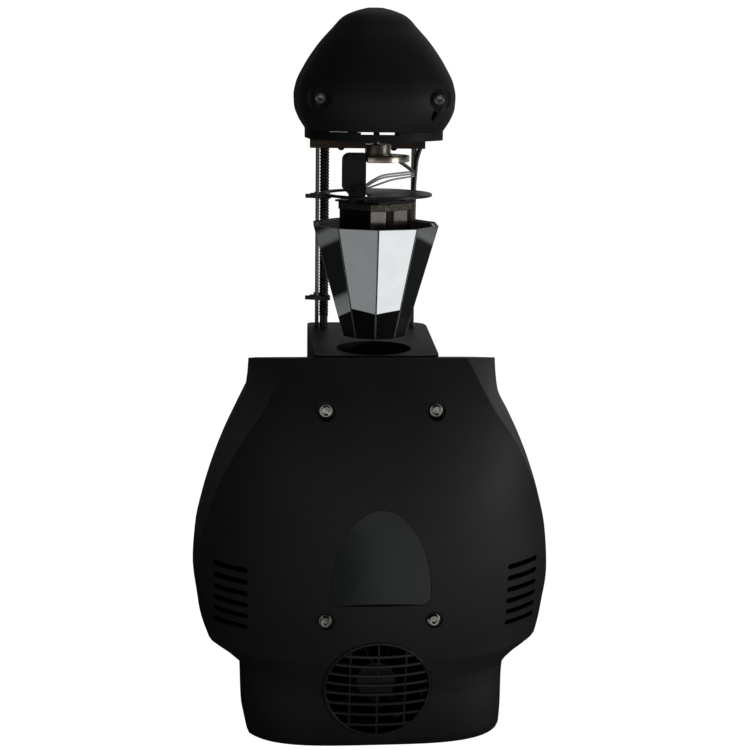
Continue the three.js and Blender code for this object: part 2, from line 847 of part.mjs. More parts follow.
function fanRotor() {
  const tipRadius = fanRadius - fan.bladeTipGap;
  const length = tipRadius - fan.hubRadius + fan.bladeRoot;
  const bladeChord = (rotorDepth - fan.bladeRoot) / Math.cos(fan.bladePitch);
  const rotorY = fanFrontY + fan.bladeRoot;
  const parts = [rodBack(fan.hubRadius, rotorDepth, 0, rotorY, fanMiddleZ)];
  const tip = rodBack(tipRadius, rotorDepth, 0, rotorY, fanMiddleZ, wellSides);
  for (let index = 0; index < fan.bladeCount; index += 1) {
    const blade = new THREE.BoxGeometry(length, bladeChord, fan.bladeThickness);
    blade.rotateX(fan.bladePitch);
    blade.translate(fan.hubRadius - fan.bladeRoot + length / 2, 0, 0);
    blade.rotateY((Math.PI * 2 * index) / fan.bladeCount);
    parts.push(moved(solidFrom(blade), 0, rotorY + rotorDepth / 2, fanMiddleZ).intersect(tip));
  }
  return join(...parts);
}

// Base
function basePanSolid() {
  const row = housingRow(panZ);
  const inset = housing.wall + basePan.inset;
  const plan = (more) => [
    ...halfPlan(housing, 1, row, inset + more, 0).slice(1, -1),
    ...halfPlan(housing, -1, row, inset + more, 0).slice(1, -1),
  ];
  const hollow = slab(plan(basePan.sheet), basePan.rimHeight, panZ + basePan.sheet);
  let pan = cut(slab(plan(0), basePan.rimHeight, panZ), hollow);
  for (const side of [-1, 1]) {
    for (let index = 0; index < basePan.ventCount; index += 1) {
      const y = (index - (basePan.ventCount - 1) / 2) * basePan.ventPitch;
      const x = side * (chassisWidth / 2 + basePan.ventPitch);
      pan = cut(pan, rodUp(basePan.ventRadius, basePan.sheet * 3, x, y, panZ - basePan.sheet, smallSides));
    }
  }
  return pan;
}

function footSolid() {
  const { radius, height, chamfer } = feet;
  return turned(
    [
      [0, 0],
      [radius - chamfer, 0],
      [radius, chamfer],
      [radius, height],
      [0, height],
    ],
    roundSides,
  );
}

// Turret
function turretCorners() {
  return [
    new THREE.Vector2(-turretSideX, turretFrontY),
    new THREE.Vector2(turretSideX, turretFrontY),
    new THREE.Vector2(turretSideX + turret.flare, turretRearY),
    new THREE.Vector2(-turretSideX, turretRearY),
  ];
}

function turretOutline(out) {
  const radii = [turret.frontCorner, turret.frontCorner, turret.rearCorner, turret.frontCorner];
  return roundedOutline(offsetOutline(turretCorners(), out), radii.map((radius) => radius + out));
}

function turretOpening() {
  return slab(turretOutline(clearance), housing.height, turretBaseZ - overrun);
}

const barSlotLow = deckZ - turret.wall * 2;

function neckDeck() {
  const { height, wall, wellRadius, wellWall } = turret;
  let deck = slab(turretOutline(0), height, turretBaseZ);
  deck = cut(deck, slab(turretOutline(-wall), height, turretBaseZ - wall));
  const wellBase = wellFloorZ - wellWall;
  deck = join(deck, rodUp(wellRadius + wellWall, deckZ - wellBase, 0, axisY, wellBase, wellSides));
  deck = cut(deck, rodUp(wellRadius, height, 0, axisY, wellFloorZ, wellSides));
  deck = cut(deck, rodUp(lensRadius - lens.ledge, height, 0, axisY, turretBaseZ, wellSides));
  for (const side of [-1, 1]) {
    const width = sideBar.thickness + clearance * 2;
    const depth = sideBar.depth + clearance * 2;
    const x = (side * sideBar.spanX) / 2;
    deck = cut(deck, box(width, depth, height, x, (barFrontY + barRearY) / 2, barSlotLow));
  }
  return cut(deck, rodUp(hose.boreRadius, height, hoseX, hoseY, barSlotLow, smallSides));
}

function lensSolid() {
  const baseZ = wellFloorZ + clearance;
  const points = [[0, baseZ], [lensRadius, baseZ], [lensRadius, baseZ + lens.edge]];
  for (let step = 1; step < lens.arcSteps; step += 1) {
    const angle = ((Math.PI / 2) * step) / lens.arcSteps;
    const rise = (lens.crown - lens.edge) * Math.sin(angle);
    points.push([lensRadius * Math.cos(angle), baseZ + lens.edge + rise]);
  }
  points.push([0, baseZ + lens.crown]);
  return moved(turned(points, wellSides), 0, axisY, 0);
}

// Side bars and what is strapped to them
const hoseX = sideBar.thickness / 2 - sideBar.spanX / 2 + hose.gapToBar + hose.outerRadius;
const hoseY = barFrontY + hose.behindFront;

function sideBarSolid(side) {
  const baseZ = chassisTopZ + clearance;
  const height = trayZ - clearance - baseZ;
  const middleY = (barFrontY + barRearY) / 2;
  return box(sideBar.thickness, sideBar.depth, height, (side * sideBar.spanX) / 2, middleY, baseZ);
}

function crossbarSolid() {
  const baseZ = crossbarTopZ - crossbar.height;
  const parts = [box(crossbarLength, crossbar.depth, crossbar.height, 0, crossbarY, baseZ)];
  for (const side of [-1, 1]) {
    const profile = [
      [0, -crossbar.boltHeight],
      [crossbar.boltRadius / 2, -crossbar.boltHeight],
      [crossbar.boltRadius, 0],
      [crossbar.boltRadius, crossbar.boltHeight],
      [0, crossbar.boltHeight],
    ];
    parts.push(moved(turned(profile, smallSides), (side * crossbar.boltSpan) / 2, crossbarY, baseZ));
  }
  return join(...parts);
}

// A ribbed tube with its bore, straight and smooth for one diameter at each end
function hoseGeometry() {
  const baseZ = deckZ + clearance;
  const length = trayZ - clearance - baseZ;
  const plain = hose.outerRadius * 2;
  const ribs = Math.floor((length - plain * 2) / hose.ribPitch);
  const firstRib = baseZ + (length - ribs * hose.ribPitch) / 2;
  const outer = [[hose.rootRadius, baseZ]];
  for (let rib = 0; rib < ribs; rib += 1) {
    outer.push([hose.rootRadius, firstRib + rib * hose.ribPitch]);
    outer.push([hose.outerRadius, firstRib + (rib + 0.5) * hose.ribPitch]);
  }
  outer.push([hose.rootRadius, firstRib + ribs * hose.ribPitch], [hose.rootRadius, baseZ + length]);
  const bore = [[hose.boreRadius, baseZ + length]];
  for (let rib = ribs; rib >= 0; rib -= hose.boreEvery) {
    bore.push([hose.boreRadius, firstRib + rib * hose.ribPitch]);
  }
  bore.push([hose.boreRadius, baseZ]);
  const rings = [...outer, ...bore];
  const positions = [];
  const faces = [];
  rings.forEach(([radius, z]) => {
    for (let index = 0; index < hose.ringPoints; index += 1) {
      const angle = (Math.PI * 2 * index) / hose.ringPoints;
      positions.push(hoseX + radius * Math.cos(angle), hoseY + radius * Math.sin(angle), z);
    }
  });
  rings.forEach((ring, row) => {
    const low = row * hose.ringPoints;
    const high = ((row + 1) % rings.length) * hose.ringPoints;
    for (let index = 0; index < hose.ringPoints; index += 1) {
      const next = (index + 1) % hose.ringPoints;
      faces.push(low + index, low + next, high + next);
      faces.push(low + index, high + next, high + index);
    }
  });
  const geometry = new THREE.BufferGeometry();
  geometry.setAttribute("position", new THREE.Float32BufferAttribute(positions, 3));
  geometry.setIndex(faces);
  return geometryFrom(solidFrom(geometry));
}

function cableTieSolid(z) {
  const barLeft = -sideBar.spanX / 2 - sideBar.thickness / 2;
  const barRight = barLeft + sideBar.thickness;
  const hoseRight = hoseX + hose.outerRadius;
  const corners = [
    new THREE.Vector2(barLeft, barFrontY),
    new THREE.Vector2(hoseRight, barFrontY),
    new THREE.Vector2(hoseRight, hoseY + hose.outerRadius / 2),
    new THREE.Vector2(barRight, barRearY),
    new THREE.Vector2(barLeft, barRearY),
  ];
  const radii = cableTie.cornerShares.map((share) => share * cableTie.corner);
  const outline = (out) => roundedOutline(offsetOutline(corners, out), radii);
  const band = cut(
    slab(outline(clearance + cableTie.strap), cableTie.height, z),
    slab(outline(clearance), cableTie.height * 3, z - cableTie.height),
  );
  const headX = barLeft - clearance - cableTie.strap / 2 - cableTie.headSize / 2;
  const headY = barFrontY + cableTie.headSize;
  const head = box(cableTie.headSize, cableTie.headSize, cableTie.headSize, headX, headY, z);
  const tailLength = cableTie.tailLength + cableTie.strap;
  const tailX = headX - cableTie.headSize / 2 - cableTie.tailLength / 2 + cableTie.strap;
  const tail = box(tailLength, cableTie.tailThickness, cableTie.height, tailX, headY, z);
  return join(band, head, tail);
}

function leadGeometry() {
  const startX = crossbarLength / 2 + lead.radius + lead.startGap;
  const start = new THREE.Vector3(startX, crossbarY, trayZ - lead.startDrop);
  const end = new THREE.Vector3(armRightX + lead.endGap, axisY + lead.endSetback, trayZ - lead.endDrop);
  const reach = end.clone().sub(start);
  const points = lead.routeShares.map(
    (shares) => reach.clone().multiply(new THREE.Vector3(...shares)).add(start),
  );
  const section = new THREE.Shape();
  for (let index = 0; index < lead.sides; index += 1) {
    const angle = (Math.PI * 2 * index) / lead.sides;
    const x = lead.radius * Math.cos(angle);
    const y = lead.radius * Math.sin(angle);
    if (index === 0) section.moveTo(x, y);
    else section.lineTo(x, y);
  }
  const path = new THREE.CatmullRomCurve3(points);
  return new THREE.ExtrudeGeometry(section, { steps: lead.steps, extrudePath: path });
}

// Cap
function capPlan(row, inset) {
  const front = halfPlan(capForm, -1, row, inset, 0).slice(1, -1);
  const rear = halfPlan(capForm, 1, row, inset, 0).slice(1, -1);
  return [...rear, ...front];
}

function capLoft(inset) {
  const rows = capForm.rowShares.map((entry, index) => rowAt(capForm, index));
  const used = inset > 0 ? rows.slice(0, -2) : rows;
  const heights = used.map((row) => capBaseZ + cap.height * row.rise - inset);
  return stacked(used.map((row) => capPlan(row, inset)), heights);
}

const capFrontY = (x, z) => {
  const row = rowBetween(capForm, (z - capBaseZ) / cap.height);
  return capForm.centreY - reachAt(capForm, -1, row, x, 0);
};
const capSeatY = capFrontY(capScrewX, capScrewZ) + shellScrew.recessDepth;

function capHood() {
  const reach = cap.frontReach + overrun;
  let hood = cut(capLoft(0), capLoft(cap.wall));
  for (const side of [-1, 1]) {
    const bossRadius = cap.screwRecessRadius + cap.wall;
    const boss = rodBack(bossRadius, shellScrew.bossLength, side * capScrewX, capSeatY, capScrewZ);
    hood = join(hood, boss.intersect(capLoft(0)));
  }
  for (const side of [-1, 1]) {
    const x = side * capScrewX;
    const holeRadius = shellScrew.shaftRadius + clearance;
    const recess = rodBack(cap.screwRecessRadius, reach, x, capSeatY - reach, capScrewZ);
    const hole = rodBack(holeRadius, shellScrew.shaftLength, x, capSeatY - overrun, capScrewZ);
    hood = cut(hood, recess, hole);
  }
  const slotDepth = shellScrew.recessDepth * 2;
  const slot = screwSlot(capScrewX, capScrewZ, cap.slotAngle, slotDepth);
  return cut(hood, moved(slot, 0, capSeatY - slotDepth, 0));
}

function capTray() {
  const row = rowAt(capForm, 0);
  const rimTop = trayZ + tray.rimHeight;
  let pan = slab(capPlan(row, 0), tray.rimHeight, trayZ);
  pan = cut(pan, slab(capPlan(row, tray.rimWall), tray.rimHeight, trayZ + tray.floor));
  const frontY = capForm.centreY - cap.frontReach;
  pan = cut(pan, box(tray.notchWidth, cap.frontReach, tray.notchDepth, 0, frontY, rimTop - tray.notchDepth));
  const openY = axisY + tray.backOpeningSetback;
  const openDepth = capForm.centreY + capForm.rearReach + overrun - openY;
  const openHeight = tray.rimHeight * 3;
  const openZ = trayZ - tray.rimHeight;
  const opening = box(tray.backOpeningWidth, openDepth, openHeight, 0, openY + openDepth / 2, openZ);
  pan = cut(pan, opening);
  const armFrontY = capSeatY + shellScrew.bossLength + clearance;
  const postY = capFrontY(capScrewX, capBaseZ) + cap.wall + clearance + tray.postDepth / 2;
  const postTop = capScrewZ + tray.postDepth;
  const pillarHeight = panMotorZ - clearance - trayZ;
  const pillarReach = motor.side / 2 - motor.chamfer;
  for (const side of [-1, 1]) {
    const postX = side * (capScrewX - tray.postWidth / 2);
    const post = box(tray.postWidth, tray.postDepth, postTop - trayZ, postX, postY, trayZ);
    const armDepth = postY - armFrontY;
    const armHeight = tray.postDepth * 2;
    const armY = armFrontY + armDepth / 2;
    const arm = box(tray.postWidth, armDepth, armHeight, postX, armY, postTop - armHeight);
    const boreRadius = shellScrew.shaftRadius + clearance;
    const boreY = armFrontY - overrun;
    const bore = rodBack(boreRadius, shellScrew.shaftLength, side * capScrewX, boreY, capScrewZ, smallSides);
    pan = cut(join(pan, post, arm), bore);
    for (const back of [-1, 1]) {
      const pillarY = axisY + pillarReach * back;
      pan = join(pan, rodUp(tray.pillarRadius, pillarHeight, side * pillarReach, pillarY, trayZ, smallSides));
    }
  }
  return cut(pan, rodUp(tray.shaftHole, tray.rimHeight, 0, axisY, trayZ - tray.floor));
}

// Motors: square bodies with chamfered corners and end caps a little wider than the stack
function motorBody(length, x, y, baseZ) {
  const outline = (inset) => {
    const half = motor.side / 2 - inset;
    const corner = half - motor.chamfer;
    return [
      [half, corner],
      [corner, half],
      [-corner, half],
      [-half, corner],
      [-half, -corner],
      [-corner, -half],
      [corner, -half],
      [half, -corner],
    ].map(([u, v]) => new THREE.Vector2(u, v));
  };
  const body = join(
    slab(outline(0), motor.endCap, 0),
    slab(outline(motor.endInset), length, 0),
    slab(outline(0), motor.endCap, length - motor.endCap),
  );
  return moved(body, x, y, baseZ);
}

function panMotorSolid() {
  const pilotZ = panMotorZ - panMotor.pilotHeight;
  const pilot = rodUp(panMotor.pilotRadius, panMotor.pilotHeight * 2, 0, axisY, pilotZ);
  return join(motorBody(panMotor.length, 0, axisY, panMotorZ), pilot);
}

// Pan carriage
function panHubSolid() {
  const shaftTop = panMotorZ - panMotor.pilotHeight - clearance;
  const hub = turned([
    [0, discBaseZ],
    [panHub.discRadius, discBaseZ],
    [panHub.discRadius, discTopZ],
    [panHub.radius, discTopZ],
    [panHub.radius, hubTopZ],
    [panHub.shaftRadius, hubTopZ],
    [panHub.shaftRadius, shaftTop],
    [0, shaftTop],
  ], wellSides);
  const side = panHub.discRadius * 2;
  const beyondArm = box(side, side, side, armRightX + clearance - side / 2, 0, discBaseZ - side / 2);
  return moved(cut(hub, beyondArm), 0, axisY, 0);
}

function panArmSolid() {
  const { topCorner, depth, wall } = panArm;
  const [roundX, roundZ] = [armLeftX + topCorner, armTopZ - topCorner];
  const quarter = Math.PI / 2;
  const roundTop = arcPoints(roundX, roundZ, topCorner, topCorner, quarter, quarter, topSteps);
  const outline = [
    new THREE.Vector2(armLeftX + panArm.chamferX, armBaseZ),
    new THREE.Vector2(armRightX - panArm.nearChamferX, armBaseZ),
    new THREE.Vector2(armRightX, armBaseZ + panArm.nearChamferZ),
    new THREE.Vector2(armRightX, armTopZ),
    ...roundTop,
    new THREE.Vector2(armLeftX, armBaseZ + panArm.chamferZ),
  ];
  const frontY = axisY - depth / 2;
  const block = slabBack(outline, depth, frontY);
  const pocketTop = discBaseZ - wall;
  const pocketZ = pivotZ + tilt.pinHeadRadius + wall;
  const pocketWidth = panArm.width - wall;
  const pocketX = armLeftX + pocketWidth / 2 - overrun;
  const pocket = box(pocketWidth, depth - wall * 2, pocketTop - pocketZ, pocketX, axisY, pocketZ);
  return cut(block, pocket, rodBack(tilt.pinRadius + clearance, depth * 2, pivotX, frontY - overrun, pivotZ));
}

// Tilting head
const earFrontY = axisY - panArm.depth / 2 - clearance - tilt.earThickness;
const earRearY = axisY + panArm.depth / 2 + clearance;

function tiltPin() {
  const length = earRearY + tilt.earThickness - earFrontY + clearance * 2;
  const startY = earFrontY - clearance;
  return join(
    rodBack(tilt.pinRadius, length, pivotX, startY, pivotZ),
    rodBack(tilt.pinHeadRadius, tilt.pinHead, pivotX, startY - tilt.pinHead, pivotZ),
    rodBack(tilt.pinHeadRadius, tilt.pinHead, pivotX, startY + length, pivotZ),
  );
}

function tiltBracket() {
  const square = new THREE.BoxGeometry(motor.side, motor.side, tilt.plateThickness).rotateZ(Math.PI / 4);
  let bracket = moved(solidFrom(square), 0, axisY, plateBaseZ + tilt.plateThickness / 2);
  const earOutline = archOutline(tilt.earWidth, plateBaseZ, pivotZ + tilt.earWidth / 2, pivotX);
  for (const frontY of [earFrontY, earRearY]) {
    bracket = join(bracket, slabBack(earOutline, tilt.earThickness, frontY));
  }
  const reach = panArm.depth * 2;
  return cut(bracket, rodBack(tilt.pinRadius + clearance, reach, pivotX, axisY - reach / 2, pivotZ));
}

function barrelMotorSolid() {
  const body = motorBody(barrelMotor.length, 0, 0, 0).rotate([0, 0, 45]);
  return moved(body, 0, axisY, barrelMotorZ);
}

function guardRing() {
  const { outerRadius, innerRadius, thickness, webHalfAngle, webInnerX, legSpread } = ring;
  const hoop = turned([
    [innerRadius, ringZ],
    [outerRadius, ringZ],
    [outerRadius, ringZ + thickness],
    [innerRadius, ringZ + thickness],
    [innerRadius, ringZ],
  ]);
  const reach = (innerRadius + outerRadius) / 2;
  const web = [
    ...arcPoints(0, 0, reach, reach, -webHalfAngle, webHalfAngle * 2, ring.webSteps),
    new THREE.Vector2(webInnerX, legSpread),
    new THREE.Vector2(webInnerX, -legSpread),
  ];
  const parts = [hoop, slab(web, thickness, ringZ)];
  const legZ = plateTopZ + clearance;
  for (const side of [-1, 1]) {
    const y = (side * legSpread) / 2;
    parts.push(rodUp(ring.legRadius, ringZ + thickness - legZ, ring.legX, y, legZ, smallSides));
  }
  return moved(join(...parts), 0, axisY, 0);
}

// Mirror barrel
const halfTurn = Math.PI / barrel.sides;
const apothemAt = (z) => {
  const part = (z - footZ) / (rimZ - footZ);
  return THREE.MathUtils.lerp(barrel.footRadius, barrel.rimRadius, part) * Math.cos(halfTurn);
};
const lean = Math.atan2(apothemAt(rimZ) - apothemAt(footZ), rimZ - footZ);

function decagon(apothem) {
  const radius = apothem / Math.cos(halfTurn);
  const outline = [];
  for (let index = 0; index < barrel.sides; index += 1) {
    const angle = -Math.PI / 2 + halfTurn * 2 * index;
    outline.push(new THREE.Vector2(radius * Math.cos(angle), radius * Math.sin(angle)));
  }
  return outline;
}

function frustum(setback, lowZ, highZ) {
  const back = setback / Math.cos(lean);
  return stacked([decagon(apothemAt(lowZ) - back), decagon(apothemAt(highZ) - back)], [lowZ, highZ]);
}

function mirrorCarrier() {
  const { wall, floor, hubRadius, spindleRadius } = barrel;
  const skin = barrel.glass + clearance;
  const lowZ = footZ + barrel.lip;
  const highZ = rimZ - barrel.lip;
  let carrier = cut(frustum(skin, lowZ, highZ), frustum(skin + wall, lowZ + floor, highZ + overrun));
  carrier = join(
    carrier,
    frustum(skin + wall / 2, webZ, webZ + barrel.webThickness),
    rodUp(hubRadius, (barrelMotorZ - webZ) / 2, 0, 0, webZ),
    rodUp(spindleRadius, barrelMotorZ - clearance - webZ, 0, 0, webZ),
  );
  return cut(carrier, rodUp(barrel.footHole, floor * 3, 0, 0, lowZ - floor));
}

function mirrorGeometry() {
  const corner = (z, setback, side) => {
    const apothem = apothemAt(z) - setback * Math.cos(lean);
    const halfWidth = (apothemAt(z) - setback) * Math.tan(halfTurn) - barrel.glassGap;
    return [side * halfWidth, -apothem, z + setback * Math.sin(lean)];
  };
  const positions = [];
  for (const z of [footZ, rimZ]) {
    for (const setback of [0, barrel.glass]) {
      for (const side of [-1, 1]) positions.push(...corner(z, setback, side));
    }
  }
  const quads = [
    [0, 1, 5, 4],
    [3, 2, 6, 7],
    [1, 3, 7, 5],
    [2, 0, 4, 6],
    [4, 5, 7, 6],
    [2, 3, 1, 0],
  ];
  const geometry = new THREE.BufferGeometry();
  geometry.setAttribute("position", new THREE.Float32BufferAttribute(positions, 3));
  geometry.setIndex(quads.flatMap(([a, b, c, d]) => [a, b, c, a, c, d]));
  const flat = geometry.toNonIndexed();
  flat.computeVertexNormals();
  return flat;
}

// Chassis and optics
function chassisFrame() {
  const { sheet, windowMargin, ledgeWidth } = chassis;
  const upperHeight = chassisTopZ - effectsZ;
  const width = chassisWidth + sheet;
  const depth = chassisRearY - chassisFrontY - sheet;
  const middleY = (chassisRearY + chassisFrontY) / 2;
  const parts = [];
  for (const side of [-1, 1]) {
    const x = (side * width) / 2;
    const wall = box(sheet, depth, chassisTopZ - chassisBaseZ - sheet, x, middleY, chassisBaseZ + sheet / 2);
    const windowHeight = upperHeight * (1 - chassis.windowShare * 2);
    const windowZ = effectsZ + upperHeight * chassis.windowShare;
    const window = box(sheet * 3, depth - windowMargin * 2, windowHeight, x, middleY, windowZ);
    parts.push(cut(wall, window));
    const ledgeX = (side * (chassisWidth - ledgeWidth)) / 2;
    parts.push(box(ledgeWidth + sheet, depth - sheet, sheet, ledgeX, middleY, effectsZ - clearance - sheet));
  }
  const shelf = (z) => box(width, depth - sheet / 2, sheet, 0, middleY - sheet / 4, z);
  const reflectorHoleRadius = reflector.rimRadius + clearance * 2;
  const reflectorHole = rodUp(reflectorHoleRadius, sheet * 3, 0, axisY, reflectorShelfZ - sheet);
  parts.push(shelf(chassisBaseZ), shelf(lampShelfZ), cut(shelf(reflectorShelfZ), reflectorHole));
  const topDepth = turretRearY - chassisFrontY;
  const top = box(width, topDepth, sheet, 0, (turretRearY + chassisFrontY) / 2, chassisTopZ - sheet);
  parts.push(cut(top, rodUp(chassis.beamHole, sheet * 3, 0, axisY, chassisTopZ - sheet * 2)));
  const fanPlateHeight = fanBaseZ + fan.side + chassis.fanPlateRise - chassisBaseZ;
  const fanPlate = box(width, sheet, fanPlateHeight, 0, chassisFrontY + sheet / 2, chassisBaseZ + sheet / 2);
  parts.push(cut(fanPlate, rodBack(fanRadius, sheet * 3, 0, chassisFrontY - sheet, fanMiddleZ, wellSides)));
  let frame = join(...parts);
  for (const { x, z } of shellScrewPlaces) {
    const lugFront = screwSeatY(x, z) + shellScrew.bossLength + clearance;
    const lugLength = chassisFrontY + sheet * 2 - lugFront;
    const lugInner = Math.abs(x) - chassis.lugWidth / 2;
    const lugWidth = (chassisWidth + sheet * 1.5) / 2 - lugInner;
    const lugX = Math.sign(x) * (lugInner + lugWidth / 2);
    const lugZ = z - chassis.lugHeight / 2;
    const lug = box(lugWidth, lugLength, chassis.lugHeight, lugX, lugFront + lugLength / 2, lugZ);
    const boreRadius = shellScrew.shaftRadius + clearance;
    const bore = rodBack(boreRadius, shellScrew.shaftLength, x, lugFront - overrun, z, smallSides);
    frame = cut(join(frame, lug), bore);
  }
  return frame;
}

function reflectorSolid() {
  const { rimRadius, neckRadius, wall, flange, flangeThickness } = reflector;
  const flangeZ = reflectorRimZ - flangeThickness;
  const neckZ = reflectorRimZ - reflector.height;
  const depth = flangeZ - neckZ;
  const inside = [];
  const outside = [];
  for (let step = 0; step <= reflector.arcSteps; step += 1) {
    const angle = ((Math.PI / 2) * step) / reflector.arcSteps;
    const z = neckZ + depth * (1 - Math.cos(angle));
    const radius = neckRadius + (rimRadius - wall - neckRadius) * Math.sin(angle) ** reflector.bulgeShare;
    inside.push([radius, z]);
    outside.unshift([radius + wall, z]);
  }
  const profile = [
    ...inside,
    [rimRadius - wall, reflectorRimZ],
    [rimRadius + flange, reflectorRimZ],
    [rimRadius + flange, flangeZ],
    ...outside,
    inside[0],
  ];
  return moved(turned(profile.reverse(), roundSides), 0, axisY, 0);
}

function lampSolid() {
  const { baseRadius, stemRadius, envelopeRadius, envelopeHeight, envelopeSteps } = lamp;
  const baseZ = lampShelfZ + chassis.sheet + clearance;
  const stemZ = baseZ + lamp.baseHeight;
  const glassZ = stemZ + lamp.stemHeight;
  const points = [[0, baseZ], [baseRadius, baseZ], [baseRadius, stemZ], [stemRadius, stemZ]];
  for (let step = 0; step <= envelopeSteps; step += 1) {
    const part = step / envelopeSteps;
    const radius = stemRadius + (envelopeRadius - stemRadius) * Math.sin(Math.PI * part);
    points.push([radius, glassZ + envelopeHeight * part]);
  }
  points.push([0, glassZ + envelopeHeight]);
  return moved(turned(points, smallSides), 0, axisY, 0);
}

function effectsPlate() {
  const { sheet, canRadius, canHeight, frontReach, rearReach } = effects;
  const width = chassisWidth - clearance * 2;
  const depth = frontReach + rearReach;
  const middleY = axisY + (rearReach - frontReach) / 2;
  const plate = box(width, depth, sheet, 0, middleY, effectsZ);
  return join(
    cut(plate, rodUp(effects.holeRadius, sheet * 3, 0, axisY, effectsZ - sheet)),
    rodUp(canRadius, canHeight, 0, wheelY, effectsZ + sheet),
    rodUp(canRadius, canHeight, 0, wheelY, effectsZ - canHeight),
  );
}

// A wheel of round windows: up is 1 for the one on the upper motor and -1 for the one below
function wheelSolid(up) {
  const upperZ = effectsZ + effects.sheet + effects.canHeight + clearance;
  const lowerZ = effectsZ - effects.canHeight - clearance - wheel.hubHeight;
  const face = up > 0 ? upperZ : lowerZ;
  const discZ = up > 0 ? face + wheel.hubHeight - wheel.sheet : face;
  let disc = join(
    rodUp(wheel.radius, wheel.sheet, 0, wheelY, discZ, fineSides),
    rodUp(wheel.hubRadius, wheel.hubHeight, 0, wheelY, face),
  );
  for (let index = 0; index < wheel.holes; index += 1) {
    const angle = (Math.PI * 2 * index) / wheel.holes - Math.PI / 2;
    const x = wheel.holeCircle * Math.cos(angle);
    const y = wheelY + wheel.holeCircle * Math.sin(angle);
    disc = cut(disc, rodUp(wheel.holeRadius, wheel.hubHeight * 3, x, y, face - wheel.hubHeight, smallSides));
  }
  return disc;
}

function ballastSolid() {
  const baseZ = chassisBaseZ + chassis.sheet + clearance;
  const { width, depth, height, plates, plateGroove } = ballast;
  const corners = [[-1, -1], [1, -1], [1, 1], [-1, 1]].map(
    ([u, v]) => new THREE.Vector2((u * width) / 2, ballastY + (v * depth) / 2),
  );
  let block = slab(roundedOutline(corners, corners.map(() => ballast.corner)), height, baseZ);
  for (let index = 0; index < plates; index += 1) {
    const y = ballastY + ((index - (plates - 1) / 2) * depth) / (plates + 1);
    block = cut(block, box(width * 2, plateGroove, plateGroove, 0, y, baseZ + height - plateGroove));
  }
  return block;
}

// Rear panel
const buttonX = (index) => button.middleX + (index - (button.count - 1) / 2) * button.pitch;

function controlPanel() {
  const middleY = (panelRearY + panelFrontY) / 2;
  const deep = panel.sheet * 3;
  const plate = box(panel.width, panel.sheet, panel.height, 0, middleY, panel.baseZ);
  const hole = (width, height, x, z) => {
    const fullHeight = height + clearance * 2;
    return box(width + clearance * 2, deep, fullHeight, x, middleY, z - fullHeight / 2);
  };
  const holes = [hole(inlet.width, inlet.height, panel.inletX, inletZ)];
  for (const side of [-1, 1]) {
    const x = panel.socketX + (side * socket.pitch) / 2;
    holes.push(rodBack(socket.radius + clearance, deep, x, middleY - deep / 2, socketZ));
  }
  for (let index = 0; index < button.count; index += 1) {
    holes.push(hole(button.width, button.height, buttonX(index), buttonZ));
  }
  return cut(plate, ...holes);
}

function buttonSolid() {
  const { width, height, length, flange, flangeThickness } = button;
  const startY = panelFrontY - clearance - flangeThickness;
  const flangeHeight = height + flange * 2;
  const flangeY = startY + flangeThickness / 2;
  return join(
    box(width, length, height, 0, startY + length / 2, -height / 2),
    box(width + flange * 2, flangeThickness, flangeHeight, 0, flangeY, -flangeHeight / 2),
  );
}

function powerInlet() {
  const { width, height, depth, flange, flangeThickness, wall } = inlet;
  const faceY = panelRearY + clearance + flangeThickness;
  const flangeHeight = height + flange * 2;
  const body = join(
    box(width, depth, height, 0, faceY - depth / 2, -height / 2),
    box(width + flange * 2, flangeThickness, flangeHeight, 0, faceY - flangeThickness / 2, -flangeHeight / 2),
  );
  const hollowDepth = depth - wall;
  const hollowY = faceY - hollowDepth / 2 + clearance;
  let made = cut(body, box(width - wall * 2, hollowDepth, height - wall * 2, 0, hollowY, wall - height / 2));
  const pinY = faceY - depth + wall / 2 + inlet.pinLength / 2;
  for (const place of [-1, 0, 1]) {
    const pinX = place * inlet.pinPitch;
    const pin = box(inlet.pinWidth, inlet.pinLength, inlet.pinHeight, pinX, pinY, -inlet.pinHeight / 2);
    made = join(made, pin);
  }
  return moved(made, panel.inletX, 0, inletZ);
}

function signalSockets() {
  const { plateWidth, plateThickness, plateHeight, radius, wall, depth, pinCircle } = socket;
  const faceY = panelRearY + clearance + plateThickness;
  let made = box(plateWidth, plateThickness, plateHeight, 0, faceY - plateThickness / 2, -plateHeight / 2);
  for (const side of [-1, 1]) {
    const x = (side * socket.pitch) / 2;
    const hollowDepth = depth - wall;
    made = join(made, rodBack(radius, depth, x, faceY - depth, 0));
    made = cut(made, rodBack(radius - wall, hollowDepth + overrun, x, faceY - hollowDepth, 0));
    const pinY = faceY - depth + wall / 2;
    for (const quarter of [0, 1, 2]) {
      const angle = (Math.PI / 2) * quarter;
      const pinX = x + pinCircle * Math.cos(angle);
      const pinZ = pinCircle * Math.sin(angle);
      made = join(made, rodBack(socket.pinRadius, socket.pinLength, pinX, pinY, pinZ, smallSides));
    }
  }
  return moved(made, panel.socketX, 0, socketZ);
}

// The assembly
const scanner = new THREE.Group();
scanner.name = "barrel_scanner";
const materials = Object.fromEntries(
  Object.entries(looks).map(([name, look]) => [name, new THREE.MeshStandardMaterial(look)]),
);

function addNode(name, geometry, material, parent = scanner) {
  const mesh = new THREE.Mesh(geometry, material.clone());
  mesh.name = name;
  parent.add(mesh);
  return mesh;
}

const addSolid = (name, solid, material, parent) => addNode(name, geometryFrom(solid), material, parent);

